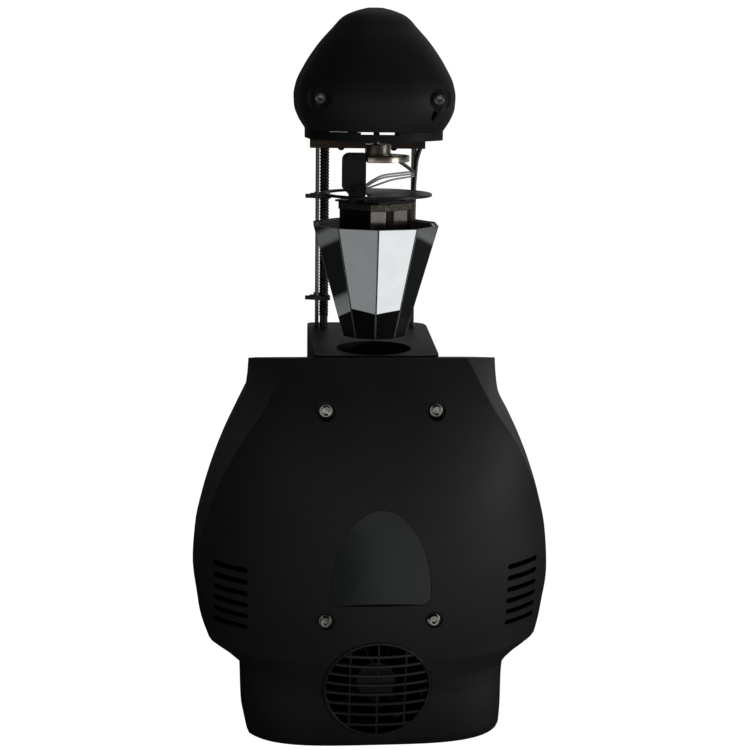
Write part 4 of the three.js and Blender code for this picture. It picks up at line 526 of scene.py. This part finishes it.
def patchSolid(outline, front, back, rings=8):
    # a closed block over an outline in X and Z: both faces follow a function of x and z, on rings inwards
    outline = np.asarray(outline, float)
    centre = outline.mean(0)
    share = np.linspace(0, 1, rings)[:, None, None]
    flat = centre + (outline - centre) * share
    x, z = flat[..., 0], flat[..., 1]
    near = np.stack([x, front(x, z), z], -1)
    far = np.stack([x, back(x, z), z], -1)[::-1]
    return np.concatenate([near, far]), False, True


def level(y):
    return lambda x, z: np.full_like(x, y)


def slotOutline(x, z, length, height, sides=8):
    angle = np.linspace(-np.pi / 2, np.pi / 2, sides)
    end = x + length / 2 - height / 2
    right = np.stack([end + height / 2 * np.cos(angle), z + height / 2 * np.sin(angle)], 1)
    return np.concatenate([right, (2 * x, 2 * z) - right])


badge = {"halfWidth": 49, "base": 164, "arch": 262, "shoulder": 174, "corner": 9, "recess": 2.2, "thick": 1.4,
         "cornerSteps": 8, "archSteps": 48, "cutRings": 16, "rings": 20}


def badgeOutline(inset):
    # a half ellipse over a straight foot with round corners
    half, low, corner = badge["halfWidth"] - inset, badge["base"] + inset, badge["corner"] - inset
    quarter = np.linspace(-np.pi / 2, 0, badge["cornerSteps"])
    right = np.stack([half - corner + corner * np.cos(quarter), low + corner + corner * np.sin(quarter)], 1)
    angle = np.linspace(0, np.pi, badge["archSteps"])
    rise = badge["arch"] - badge["shoulder"] - inset
    arch = np.stack([half * np.cos(angle), badge["shoulder"] + rise * np.sin(angle)], 1)
    return np.concatenate([right, arch, right[::-1] * (-1, 1)])


turret = {"corners": [(-62, -62), (62, -62), (70, 133), (-62, 133)], "radii": [10, 10, 20, 10],
          "low": 346, "above": 460}


def turretOutline(out):
    # the turret's plan moved out by a gap, with eased corners
    corners = np.array(turret["corners"], float)
    edge = np.roll(corners, -1, 0) - corners
    edge /= np.linalg.norm(edge, axis=1, keepdims=True)
    normal = np.stack([edge[:, 1], -edge[:, 0]], 1)
    both = normal + np.roll(normal, 1, 0)
    moved = corners + both * (out / (1 + (normal * np.roll(normal, 1, 0)).sum(1)))[:, None]
    closed = np.concatenate([moved[-1:], moved, moved[:1]])
    reachOut = [r + out for r in turret["radii"]]
    return roundProfile(closed, reachOut, 8)[1:-1]


def openForTurret(shell):
    opening = turretOutline(gap)
    loop = np.stack([np.c_[opening, np.full(len(opening), z)] for z in (turret["low"], turret["above"])])
    combined(shell, surfaces("opening", [closedTube(loop)]), "DIFFERENCE")


# screw seats: a boss behind the face, a round recess down to it with the hole, and a slot beside one of them
def screwBosses(form, plan, places, seats):
    return [patchSolid(circle(plan["boss"], 64, x, z),
                       lambda u, v, seat=seat: np.maximum(frontFaceY(form, u, v) + plan["cover"],
                                                          seat - plan["proud"]),
                       level(seat + plan["bossLength"])) for (x, z), seat in zip(places, seats)]


def screwBores(plan, places, seats):
    # each is turned about an axis that starts well before the face
    bores = []
    for (x, z), seat in zip(places, seats):
        floor, end = -(seat + plan["before"]), -(seat + plan["before"] + plan["holeDepth"])
        profile = [(0, 0), (plan["recess"], 0), (plan["recess"], floor), (plan["hole"], floor),
                   (plan["hole"], end), (0, end)]
        bores.append(spun(profile, plan["sides"], (x, -plan["before"], z), "y"))
    return bores


def slotBeside(shell, plan, place, seat):
    # corners are along and across the slot's direction, from the screw's middle
    along = np.array([math.sin(plan["slotTurn"]), math.cos(plan["slotTurn"])])
    across = np.array([along[1], -along[0]])
    corners = np.array([np.array(place) + along * u + across * v for u, v in plan["slot"]])
    block = patchSolid(corners, level(seat - plan["slotDepth"]), level(seat), flatRings)
    combined(shell, surfaces("slot", [block]), "DIFFERENCE")


shellScrew = {
    "x": 52.8, "upper": 352, "lower": 147, "recess": 9, "depth": 4.5, "boss": 11, "bossLength": 5,
    "cover": 1.5, "proud": 2, "hole": 3.3, "holeDepth": 15, "before": 200, "sides": 64,
    "slotTurn": -math.pi / 7, "slot": [(0, -2.5), (0, 2.5), (14, 2.5), (14, -2.5)], "slotDepth": 9,
}
grille = {"sag": 4.5, "z": 70, "radius": 54, "bars": 8, "barPitch": 11.2, "bar": 3, "barSet": 1.5, "ribs": 3,
          "ribPitch": 27.5, "rib": 2, "ribSet": 2, "rim": (3, 4), "rimSet": 1, "cutTo": -20, "endDrop": 0.1,
          "power": 4, "sides": 12, "steps": 40, "rimSides": 160, "openSides": 128}
sideSlots = {"x": 144.5, "z": 162, "pitch": 12.3, "count": 6, "length": 34, "height": 5.4, "cutTo": -5}
beforeFront = level(-200)


def frontShell():
    shell = housingBody("housing_front", -1, 0, -housing["seam"], housing["base"])
    inside = housingBody("inside", -1, housing["wall"], housing["cutOver"], **housing["inside"])
    combined(shell, inside, "DIFFERENCE")
    screws = [(s * shellScrew["x"], z) for z in (shellScrew["upper"], shellScrew["lower"]) for s in (-1, 1)]
    seats = [float(frontFaceY(housing, x, z)) + shellScrew["depth"] for x, z in screws]
    combined(shell, surfaces("bosses", screwBosses(housing, shellScrew, screws, seats)), "UNION")
    cutters = screwBores(shellScrew, screws, seats)
    opening = circle(grille["radius"] + gap, grille["openSides"], 0, grille["z"])
    cutters.append(patchSolid(opening, beforeFront, level(grille["cutTo"]), flatRings))
    for side in (-1, 1):
        for index in range(sideSlots["count"]):
            z = sideSlots["z"] + (index - (sideSlots["count"] - 1) / 2) * sideSlots["pitch"]
            outline = slotOutline(side * sideSlots["x"], z, sideSlots["length"], sideSlots["height"])
            cutters.append(patchSolid(outline, beforeFront, level(sideSlots["cutTo"]), flatRings))
    cutters.append(patchSolid(badgeOutline(0), beforeFront,
                              lambda x, z: frontFaceY(housing, x, z) + badge["recess"], badge["cutRings"]))
    combined(shell, surfaces("cutters", cutters), "DIFFERENCE")
    slotBeside(shell, shellScrew, screws[1], seats[1])
    openForTurret(shell)
    tidy(shell, housing["sharp"])
    return finished(shell, "housing", "base", "black_plastic", "front_shell"), screws, seats


rearWindow = {"corners": [(-58, 98), (58, 98), (58, 210), (-58, 210)], "from": 60, "to": 200}


def rearShell():
    shell = housingBody("housing_rear", 1, 0, housing["seam"], housing["base"])
    inside = housingBody("inside", 1, housing["wall"], -housing["cutOver"], **housing["inside"])
    combined(shell, inside, "DIFFERENCE")
    window = patchSolid(rearWindow["corners"], level(rearWindow["from"]), level(rearWindow["to"]), flatRings)
    combined(shell, surfaces("window", [window]), "DIFFERENCE")
    openForTurret(shell)
    return finished(tidy(shell, housing["sharp"]), "housing", "base", "black_plastic", "rear_shell")


front, screwPlaces, screwSeats = frontShell()
rear = rearShell()
print("housing made:", len(front.data.polygons), len(rear.data.polygons))

badgePiece = surfaces("badge_insert", [patchSolid(
    badgeOutline(gap), lambda x, z: frontFaceY(housing, x, z) + badge["recess"] - gap - badge["thick"],
    lambda x, z: frontFaceY(housing, x, z) + badge["recess"] - gap, badge["rings"])])
finished(badgePiece, "badge", "base", "badge_insert", "badge_plate")


# intake grille: rim, bars and ribs swept along the curved front; the bars sag towards the middle
def intakeGrille():
    z0, radius, corner = grille["z"], grille["radius"], (grille["power"], grille["sides"])
    width, depth = grille["rim"]
    angle = np.linspace(0, 2 * np.pi, grille["rimSides"], endpoint=False)
    section = softRectangle(width, depth, *corner)
    r = radius - width / 2 + section[:, 0]
    x = np.cos(angle)[:, None] * r
    z = z0 + np.sin(angle)[:, None] * r
    rim = np.stack([x, frontFaceY(housing, x, z) + grille["rimSet"] + section[:, 1], z], -1)
    grids = [(rim, True, True)]
    section = softRectangle(grille["bar"], grille["bar"], *corner)
    for index in range(grille["bars"]):
        drop = (index - (grille["bars"] - 1) / 2) * grille["barPitch"]
        half = math.sqrt((radius - width / 2) ** 2 - (drop + grille["sag"] * grille["endDrop"]) ** 2)
        along = np.linspace(-half, half, grille["steps"])
        sag = grille["sag"] * ((along / radius) ** 2 - 0.5)
        z = z0 + drop + section[:, 0][None] + sag[:, None]
        x = along[:, None] + z * 0
        y = frontFaceY(housing, x, z0 + drop + z * 0) + grille["barSet"] + section[:, 1]
        grids.append(closedTube(np.stack([x, y, z], -1)))
    section = softRectangle(grille["rib"], grille["rib"], *corner)
    for index in range(grille["ribs"]):
        middle = (index - (grille["ribs"] - 1) / 2) * grille["ribPitch"]
        half = math.sqrt((radius - width / 2) ** 2 - middle ** 2)
        along = np.linspace(-half, half, grille["steps"])
        x = middle + section[:, 0][None] + along[:, None] * 0
        z = z0 + along[:, None] + x * 0
        y = frontFaceY(housing, middle + x * 0, z) + grille["ribSet"] + section[:, 1]
        grids.append(closedTube(np.stack([x, y, z], -1)))
    return surfaces("grille_fine", grids)


finished(intakeGrille(), "grille", "base", "black_plastic", "intake_grille")


# screws: washer and cap head; the three rows before the profile's last turn into a hexagon, each by its share
screwPlan = {
    "profile": [(0, -15), (3, -15), (3, 0), (6.1, 0), (6.3, 0.3), (6.3, 1.1), (6.1, 1.4), (5, 1.4), (5, 5.9),
                (4.6, 6.4), (3.2, 6.4), (2.9, 6.2), (2.9, 3.8), (0, 3.6)],
    "sides": 48, "sharp": 28, "socket": (0.5, 1, 1),
}


def socketScrew(x, seat, z, name, replaced, scale=1.0):
    points, _, _ = spun(screwPlan["profile"], screwPlan["sides"])
    angle = np.linspace(0, 2 * np.pi, screwPlan["sides"], endpoint=False)
    hexagon = math.cos(math.pi / 6) / np.cos(np.mod(angle, math.pi / 3) - math.pi / 6)
    points[2:, :, :2] *= scale
    points[-4:-1, :, :2] *= np.array(screwPlan["socket"])[:, None, None] * (hexagon[None, :, None] - 1) + 1
    turned = np.stack([points[..., 0] + x, seat - points[..., 2], points[..., 1] + z], -1)
    piece = surfaces(name, [(turned, False, True)], screwPlan["sharp"])
    return finished(piece, "screw", "base", "black_metal", replaced)


corners = ("upper_left", "upper_right", "lower_left", "lower_right")
for (x, z), seat, name in zip(screwPlaces, screwSeats, corners):
    socketScrew(x, seat - gap, z, "socket_screw_" + name, "shell_screw_" + name)


# cap hood, with its screws drawn a little smaller
capScrew = {
    "x": 57, "z": 643, "recess": 10, "depth": 4.5, "scale": 0.8, "boss": 12.5, "bossLength": 5, "cover": 1.2,
    "proud": 1, "hole": 3.3, "holeDepth": 15, "before": 160, "sides": 64, "slotTurn": math.pi * 1.06,
    "slot": [(0, -3.6), (0, 3.6), (21, 3.6), (23, 0), (21, -3.6)], "slotDepth": 12,
}


def capBody(name, inset, top, count=70, steps=(4, 8, 36)):
    # a closed loft: rear plans and front plans joined, drawn to a point above and below
    rise = heightsOf(cap, count, top)
    plans = np.concatenate([fullPlan(cap, 1, rise, inset, steps)[:, 1:-1],
                            fullPlan(cap, -1, rise, inset, steps)[:, -2:0:-1]], 1)
    plans[..., 1] += cap["middleY"]
    z = cap["base"] + cap["height"] * rise - inset
    points = np.concatenate([plans, np.repeat(z[:, None], plans.shape[1], 1)[..., None]], -1)
    return surfaces(name, [closedTube(points)])


def capHood():
    hood = capBody("cap_shell", 0, 1)
    combined(hood, capBody("inside", cap["wall"], **cap["inside"]), "DIFFERENCE")
    seat = float(frontFaceY(cap, capScrew["x"], capScrew["z"])) + capScrew["depth"]
    screws = [(s * capScrew["x"], capScrew["z"]) for s in (-1, 1)]
    combined(hood, surfaces("bosses", screwBosses(cap, capScrew, screws, [seat] * 2)), "UNION")
    combined(hood, surfaces("cutters", screwBores(capScrew, screws, [seat] * 2)), "DIFFERENCE")
    slotBeside(hood, capScrew, screws[1], seat)
    return finished(tidy(hood, cap["sharp"]), "cap", "base", "black_plastic", "cap_hood"), seat


hood, capSeat = capHood()
for side, name in ((-1, "left"), (1, "right")):
    socketScrew(side * capScrew["x"], capSeat - gap, capScrew["z"], "cap_socket_screw_" + name,
                "cap_screw_" + name, capScrew["scale"])
print("cap made")

# carriage: hub, disc and shaft turned from stainless, with the disc's flat beside the arm
hubPlan = {
    "profile": [(0, 581.5), (33, 581.5), (33, 587.5), (17, 587.5), (17, 589), (14.5, 589), (14.5, 598),
                (3, 598), (3, 610.9), (0, 610.9)],
    "radii": [0.6, 0.6, 0.3, 0.3, 0.3, 0.8, 0.3, 0.3], "sides": 96, "flatX": -10.5,
}
hub, _, _ = spun(roundProfile(hubPlan["profile"], hubPlan["radii"]), hubPlan["sides"], (0, axisY, 0))
hub[..., 0] = np.maximum(hub[..., 0], hubPlan["flatX"])
finished(surfaces("hub_turned", [(hub, False, True)]), "turned", "pan_carriage", "stainless", "pan_hub")

# guard ring: thin hoop with the web at its right, on two posts
ringPlan = {"outer": 56, "inner": 48, "low": 548, "thick": 2.5, "webTurn": 100.5, "skin": 0.1, "ease": 0.2,
            "post": [(0, 544.1), (2.5, 544.1), (2.5, 550), (0, 550)], "postX": 28, "postY": 8,
            "postSides": 24, "power": 8, "sides": 16, "around": 144, "webSteps": 40, "rimShare": 0.995}


def guardRing(plan):
    middle = (plan["outer"] + plan["inner"]) / 2
    section = softRectangle(plan["outer"] - plan["inner"], plan["thick"], plan["power"], plan["sides"])
    angle = np.linspace(0, 2 * np.pi, plan["around"], endpoint=False)[:, None]
    r = middle + section[:, 0]
    hoop = np.stack([np.cos(angle) * r, np.sin(angle) * r + axisY,
                     plan["low"] + plan["thick"] / 2 + section[:, 1] + angle * 0], -1)
    bend = np.linspace(-1, 1, plan["webSteps"]) * math.radians(plan["webTurn"])
    web = np.stack([middle * np.cos(bend), middle * np.sin(bend)], 1)
    low, high = plan["low"] + plan["skin"], plan["low"] + plan["thick"] - plan["skin"]
    centre, rim = web.mean(0), plan["rimShare"]
    rings = [(0, high), (0.5, high), (rim, high), (1, high - plan["ease"]), (1, low + plan["ease"]),
             (rim, low), (0.5, low), (0, low)]
    flats = [centre + (web - centre) * share + (0, axisY) for share, _ in rings]
    web = np.stack([np.c_[flat, np.full(len(flat), z)] for flat, (_, z) in zip(flats, rings)])
    posts = [spun(plan["post"], plan["postSides"], (plan["postX"], axisY + plan["postY"] * s, 0))
             for s in (-1, 1)]
    return surfaces("guard_hoop", [(hoop, True, True), (web, False, True), *posts])


finished(guardRing(ringPlan), "powder", "tilt_head", "black_metal", "guard_ring")


# barrel motor: cast end caps, dark lacquered stack between them with brighter steel strips up its right-hand
# sides, a painted highlight where the light falls
barrelMotor = {"low": 491.5, "high": 541.5, "side": 57, "corner": 5, "frontCorner": 10, "cap": 7, "turn": 45,
               "waist": 0.968, "lip": 0.99, "end": 0.985, "ease": 0.4, "strip": (-5, 16), "sideSteps": 30,
               "cornerSteps": 4, "nearCorner": 0.98, "nearSide": 0.9, "sharp": 28}


def squareMotor(plan):
    # outline of a square with cut corners, drawn in a little along the stack
    half, cut = plan["side"] / 2, plan["side"] / 2 - plan["corner"]
    near = plan["side"] / 2 - plan["frontCorner"]
    corners = np.array([(-half, -near), (-near, -half), (cut, -half), (half, -cut), (half, cut), (cut, half),
                        (-cut, half), (-half, cut)], float)
    steps = [plan["cornerSteps"], plan["sideSteps"]] * 4
    fine = np.concatenate([np.linspace(a, b, count, endpoint=False)
                           for a, b, count in zip(corners, np.roll(corners, -1, 0), steps)])
    cos, sin = math.cos(math.radians(plan["turn"])), math.sin(math.radians(plan["turn"]))
    fine = fine @ np.array([[cos, sin], [-sin, cos]])
    low, high, ease, waist = plan["low"], plan["high"], plan["ease"], plan["waist"]
    lowCap, highCap = low + plan["cap"], high - plan["cap"]
    rows = [(0, low), (plan["end"], low), (1, low + ease), (1, lowCap - ease), (plan["lip"], lowCap),
            (waist, lowCap), (waist, highCap), (plan["lip"], highCap), (1, highCap + ease), (1, high - ease),
            (plan["end"], high), (0, high)]
    points = np.stack([np.c_[fine * share + (0, axisY), np.full(len(fine), z)] for share, z in rows])
    piece = surfaces("barrel_motor_fine", [(points, False, True)], plan["sharp"])
    for finish in ("casting", "stack", "polished"):
        piece.data.materials.append(finishes[finish])
    middle = np.array([face.center[:] for face in piece.data.polygons]) / mm
    inStack = (middle[:, 2] > lowCap) & (middle[:, 2] < highCap)
    flat = (middle[:, :2] - (0, axisY)) @ np.array([[cos, -sin], [sin, cos]])
    start, end = plan["strip"]
    corner = flat.sum(1) < -(half + near) * waist * plan["nearCorner"]
    strip = (flat[:, 0] > start) & (flat[:, 0] < end) & (flat[:, 1] < -half * plan["nearSide"])
    # faces of the stack on the lit side get the lighter steel: a painted highlight
    polished = inStack & (corner | strip)
    piece.data.polygons.foreach_set("material_index", (inStack * 1 + polished * 1).astype(np.int32))
    return finished(piece, None, "tilt_head", "dark_steel", "barrel_motor")


squareMotor(barrelMotor)

# mirror facets: glass slabs with ground, chamfered edges; the chamfer draws them in over their breadths, and
# they narrow towards the back over the wedge
barrel = {"sides": 10, "rim": 65, "foot": 32.7, "high": 520, "low": 408, "glass": 2, "gap": 0.5, "turn": -2,
          "chamfer": 0.35, "breadth": (12, 56, 56), "wedge": 30, "sharp": 12, "sameWay": 0.999}


def mirrorFacets():
    half = math.pi / barrel["sides"]
    rise = barrel["high"] - barrel["low"]
    lean = math.atan2((barrel["rim"] - barrel["foot"]) * math.cos(half), rise)
    inward = np.array([0, math.cos(lean), math.sin(lean)])  # from the face into the glass
    corners = []
    for share, sides in ((0, (-1, 1)), (1, (1, -1))):
        apothem = (barrel["foot"] + (barrel["rim"] - barrel["foot"]) * share) * math.cos(half)
        halfWidth = apothem * math.tan(half) - barrel["gap"]
        corners += [(s * halfWidth, -apothem, barrel["low"] + rise * share) for s in sides]
    corners = np.array(corners)
    centre = corners.mean(0)
    drawn = centre + (corners - centre) * (1 - barrel["chamfer"] / np.array(barrel["breadth"]))
    narrowed = (1 - math.tan(half) * barrel["glass"] / barrel["wedge"], 1, 1)
    back = corners * narrowed + inward * barrel["glass"]
    back[:, 2] = np.minimum(back[:, 2], barrel["high"])
    rings = np.stack([np.repeat(centre[None], 4, 0), drawn, corners + inward * barrel["chamfer"], back,
                      np.repeat(back.mean(0)[None], 4, 0)])
    for index in range(barrel["sides"]):
        turn = half * (2 * index + 1) + math.radians(barrel["turn"])
        cos, sin = math.cos(turn), math.sin(turn)
        turned = np.array([[cos, sin, 0], [-sin, cos, 0], [0, 0, 1]])
        name = f"{index + 1:02d}"
        placed = rings @ turned + (0, axisY, 0)
        piece = surfaces("glass_facet_" + name, [(placed, False, True)], barrel["sharp"])
        piece.data.materials.append(finishes["mirror"])
        piece.data.materials.append(finishes["groundEdge"])
        normals = np.array([p.normal[:] for p in piece.data.polygons])
        edge = (normals @ -(inward @ turned)) < barrel["sameWay"]
        piece.data.polygons.foreach_set("material_index", edge.astype(np.int32))
        finished(piece, None, "barrel", "mirror_glass", "mirror_" + name)


mirrorFacets()
softened("mirror_carrier", "carrier", "black_metal", 0.3, "barrel")
print("head made")

# conduit: ribbed dark tube, with plain ends
hosePlan = {"x": -44.8, "y": 104, "low": 394.3, "high": 602.2, "root": 4.3, "rib": 5.2, "bore": 3.3,
            "pitch": 3.3, "plain": 10.4, "roundness": 0.6, "ribSteps": 8, "sides": 24}


def ribbedHose(plan):
    # radius along the tube: root + (rib - root) * (half a cosine wave for each rib) ^ roundness
    low, high, pitch, root = plan["low"], plan["high"], plan["pitch"], plan["root"]
    ribs = int((high - low - 2 * plan["plain"]) / pitch)
    first = low + (high - low - ribs * pitch) / 2
    z = first + np.linspace(0, ribs, ribs * plan["ribSteps"] + 1) * pitch
    wave = 0.5 - 0.5 * np.cos((z - first) / pitch * 2 * np.pi)
    r = root + (plan["rib"] - root) * wave ** plan["roundness"]
    profile = np.concatenate([[(plan["bore"], low), (root, low)], np.stack([r, z], 1),
                              [(root, high), (plan["bore"], high)]])
    points, _, _ = spun(profile, plan["sides"], (plan["x"], plan["y"], 0))
    return surfaces("ribbed_conduit", [(points, True, True)])


finished(ribbedHose(hosePlan), "conduit", "base", "black_plastic", "conduit_hose")

# motor lead: a black sheath down the bar, grey wires in an arch to the arm, a dark lead to the hub disc
leadPlan = {
    "sheath": [(57.5, 91, 602), (57, 91, 592), (52.6, 91, 577), (51.2, 91, 563), (50, 91, 544),
               (49.6, 91, 526)],
    "dark": [(49, 88, 563.5), (46, 76, 566), (36, 46, 573), (24, 8, 580.8)],
    "wires": [[(49, 88, 563), (47.6, 80, 564.4), (28.9, 48, 565), (10.5, 20, 564.6), (-1.2, 0, 561.4),
               (-10.1, -14, 557)],
              [(49, 88, 561), (46.6, 80, 562), (28.9, 48, 562.5), (10.6, 20, 562.2), (-1.2, 0, 559.1),
               (-10.1, -14, 555)],
              [(49, 88, 559), (45.6, 80, 559.2), (22.9, 42, 558.8), (7.1, 14, 556.6), (-10.1, -14, 553.4)]],
    "sheathRadius": 2.4, "darkRadius": 1.9, "wireRadius": 1.0, "steps": 48, "sides": 12, "up": (0, 1, 0.01),
    "bendStart": (40, 72, 566), "bendEnd": (7, 9, 563),
}


def lead(name, finish, radius, paths):
    section = circle(radius, leadPlan["sides"])
    strands = [closedTube(swept(splined(path, leadPlan["steps"]), section, leadPlan["up"])) for path in paths]
    return finished(surfaces(name, strands), finish, None, "wire_jacket", "motor_lead")


def bentLead(piece):
    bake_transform(piece)


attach(lead("lead_sheath", "sheath", leadPlan["sheathRadius"], [leadPlan["sheath"]]), "base")
bentLead(lead("hub_lead", "sheath", leadPlan["darkRadius"], [leadPlan["dark"]]))
bentLead(lead("motor_wires", "greyWire", leadPlan["wireRadius"], leadPlan["wires"]))

# the rest: eased copies of the CAD nodes, as node, finish, slot, radius of the edges and body
easedNodes = [
    ("neck_deck", "housing", "black_plastic", 1.2), ("cap_tray", "tray", "black_metal", 0.6),
    ("side_bar_left", "bars", "stainless", 0.4), ("side_bar_right", "bars", "stainless", 0.4),
    ("crossbar", "crossbar", "dark_steel", 0.5), ("cable_tie_upper", "nylon", "black_plastic", 0.3),
    ("cable_tie_lower", "nylon", "black_plastic", 0.3), ("base_pan", "powder", "black_metal", 0.4),
    ("chassis_frame", "zinc", "zinc_sheet", 0.3), ("fan_frame", "fanPlastic", "black_plastic", 0.5),
    ("fan_rotor", "fanPlastic", "black_plastic", 0.2, "fan"), ("output_lens", "lens", "clear_glass", 0.3),
    ("pan_motor", "stack", "dark_steel", 0.5), ("pan_arm", "powder", "black_metal", 0.8, "pan_carriage"),
    ("tilt_bracket", "powder", "black_metal", 0.4, "tilt_head"),
    ("tilt_pin", "powder", "stainless", 0.4, "tilt_head"), ("lamp_reflector", "bowl", "aluminium_bowl", 0),
    ("lamp", "ceramic", "ceramic", 0.4), ("effects_plate", "zinc", "zinc_sheet", 0.3),
    ("colour_wheel", "zinc", "zinc_sheet", 0.2, "colour_disc"),
    ("gobo_wheel", "zinc", "zinc_sheet", 0.2, "gobo_disc"), ("ballast_box", "powder", "dark_steel", 0.8),
    ("control_panel", "powder", "black_metal", 0.5), ("power_inlet", "fanPlastic", "black_plastic", 0.4),
    ("signal_sockets", "zinc", "zinc_sheet", 0.3),
]
for name in ("foot_front_left", "foot_front_right", "foot_rear_left", "foot_rear_right"):
    easedNodes.append((name, "rubber", "rubber", 0.6))
for number in range(1, 5):
    easedNodes.append((f"button_{number}", "keys", "rubber", 0.4, f"key_{number}"))
for row in easedNodes:
    softened(*row)

# floor, backdrop and light, in metres but for the floor's size in mm
# what polished parts see of the paper round the light, in linear grey: in front it is flat on each side, and
# elsewhere rings of dark and pale, each at a share of the span from the axis; a pair of places is where one
# tone fades into the other
studio = {
    "paper": "#f4f4f3", "paperRough": 0.9, "glow": 1.2, "glowShare": 0.86, "reach": 6000, "bend": 1500,
    "back": 3200, "bendSteps": 24, "span": 3.0, "frontLeft": 0.25, "frontRight": 0.96, "aisleGrey": 1.0,
    "front": (-0.32, -0.24), "middle": (-0.04, 0.04), "frontEnd": (1.25, 1.35), "aisle": (0.3, 0.4),
    "leftRings": [(0.0, 0.006), (0.286, 0.006), (0.293, 0.16), (0.311, 0.12), (0.316, 0.007), (0.384, 0.007),
                  (0.388, 0.11), (0.404, 0.11), (0.408, 0.01), (0.6, 0.02), (0.75, 0.1)],
    "rightRings": [(0.0, 0.01), (0.3, 0.012), (0.438, 0.014), (0.444, 0.16), (0.47, 0.12), (0.476, 0.014),
                   (0.6, 0.05), (0.7, 0.55)],
    "sky": 0.11, "skyLeft": 0.02, "skyRight": 0.1, "lookAt": (0, 0, 0.35),
}
lights = {
    "keyBox": {"place": (1.95, -0.95, 0.2), "size": (0.9, 0.9), "power": 20.0},
    "fillBox": {"place": (-0.9, -1.9, 0.2), "size": (1.2, 0.8), "power": 4.5},
    "topBox": {"place": (0.4, 0.5, 2.2), "size": (1.2, 1.2), "power": 2.0},
}


def grey(value):
    return (value, value, value, 1)


def reflectedPaper(tree):
    # the tones, each step mixing two of them by where the floor's point lies
    spot = addNode(tree, "TexCoord").outputs["Object"]
    axes = addNode(tree, "SeparateXYZ", {"Vector": spot})
    away = addNode(tree, "VectorMath", {0: spot}, operation="LENGTH").outputs["Value"]
    beside = addNode(tree, "Math", {0: axes.outputs["X"]}, operation="ABSOLUTE")
    share = addNode(tree, "Math", {0: away, 1: studio["span"]}, operation="DIVIDE")
    tones = {key: grey(studio[key]) for key in ("frontLeft", "frontRight", "aisleGrey")}
    for key in ("leftRings", "rightRings"):
        ramp = addNode(tree, "ValToRGB", {"Fac": share})
        stops = ramp.color_ramp.elements
        for place, value in studio[key][1:-1]:
            stops.new(place).color = grey(value)
        for stop, (place, value) in ((stops[0], studio[key][0]), (stops[len(stops) - 1], studio[key][-1])):
            stop.position, stop.color = place, grey(value)
        tones[key] = ramp.outputs["Color"]
    measures = {"middle": axes.outputs["X"], "front": axes.outputs["Y"], "aisle": beside, "frontEnd": away}
    shares = {}
    for key, measure in measures.items():
        low, high = studio[key]
        shares[key] = addNode(tree, "MapRange", {"Value": measure, "From Min": low, "From Max": high})
    for name, key, first, second in (
            ("ahead", "middle", "frontLeft", "frontRight"), ("around", "middle", "leftRings", "rightRings"),
            ("farther", "aisle", "aisleGrey", "around"), ("before", "frontEnd", "ahead", "farther"),
            ("shown", "front", "before", "around")):
        mixed = addNode(tree, "Mix", {"Factor": shares[key], "A": tones[first], "B": tones[second]},
                        data_type="RGBA")
        tones[name] = mixed.outputs["Result"]
    return tones["shown"]


def seenDirectly(tree, path):
    # 1 for the camera's rays and for those through glass
    return addNode(tree, "Math", {0: path["Is Camera Ray"], 1: path["Is Transmission Ray"]},
                   operation="MAXIMUM")


def studioFloor():
    # a floor that curves up behind: y = radius * angle past the bend
    bend = np.linspace(0, math.pi / 2, studio["bendSteps"])
    reach, radius, back = studio["reach"], studio["bend"], studio["back"]
    curve = np.stack([back + radius * np.sin(bend), radius - radius * np.cos(bend)], 1)
    side = np.concatenate([[(-reach, 0)], curve, [(back + radius, reach)]])
    places = (-reach, 0, reach)
    points = np.stack([np.c_[np.full(len(side), x), side] for x in places])
    floor = meshObject("studio_floor", points, gridFaces(len(places), len(side), False, False))
    floor.data.polygons.foreach_set("use_smooth", np.ones(len(floor.data.polygons), bool))
    material = bpy.data.materials.new("paperFloor")
    material.use_nodes = True
    tree = material.node_tree
    surface = tree.nodes["Principled BSDF"]
    surface.inputs["Base Color"].default_value = paint(studio["paper"])
    surface.inputs["Roughness"].default_value = studio["paperRough"]
    path = addNode(tree, "LightPath").outputs
    mirrored = addNode(tree, "Emission", {"Color": reflectedPaper(tree), "Strength": 1.0})
    glow = addNode(tree, "Emission", {"Color": grey(1), "Strength": studio["glow"]})
    faded = addNode(tree, "Math", {0: seenDirectly(tree, path), 1: studio["glowShare"]},
                    operation="MULTIPLY")
    paper = addNode(tree, "MixShader", {0: faded, 1: surface, 2: glow})
    whole = addNode(tree, "MixShader", {0: path["Is Glossy Ray"], 1: paper, 2: mirrored})
    tree.links.new(whole.outputs[0], tree.nodes["Material Output"].inputs["Surface"])
    floor.data.materials.append(material)


def softLight(name, plan):
    data = bpy.data.lights.new(name, "AREA")
    data.shape, data.size, data.size_y, data.energy = "RECTANGLE", *plan["size"], plan["power"]
    light = bpy.data.objects.new(name, data)
    light.location = plan["place"]
    light.rotation_euler = (Vector(studio["lookAt"]) - light.location).to_track_quat("-Z", "Y").to_euler()
    bpy.context.scene.collection.objects.link(light)


def studioWorld():
    # white behind the light and through glass, an even sky that shades it, darker on the left in reflections
    world = bpy.data.worlds.new("studioSky")
    bpy.context.scene.world = world
    world.use_nodes = True
    tree = world.node_tree
    path = addNode(tree, "LightPath").outputs
    way = addNode(tree, "TexCoord").outputs["Generated"]
    axes = addNode(tree, "SeparateXYZ", {"Vector": way})
    sideways = addNode(tree, "MapRange", {"Value": axes.outputs["X"], "From Min": -1.0,
                                          "To Min": studio["skyLeft"], "To Max": studio["skyRight"]})
    shade = addNode(tree, "MapRange",
                    {"Value": seenDirectly(tree, path), "To Min": studio["sky"], "To Max": 1.0})
    strength = addNode(tree, "Mix", {"Factor": path["Is Glossy Ray"], "A": shade, "B": sideways})
    back = tree.nodes["Background"]
    back.inputs["Color"].default_value = grey(1)
    tree.links.new(strength.outputs["Result"], back.inputs["Strength"])


studioFloor()
studioWorld()
for name, plan in lights.items():
    softLight(name, plan)
bpy.context.scene.view_settings.view_transform = "Standard"
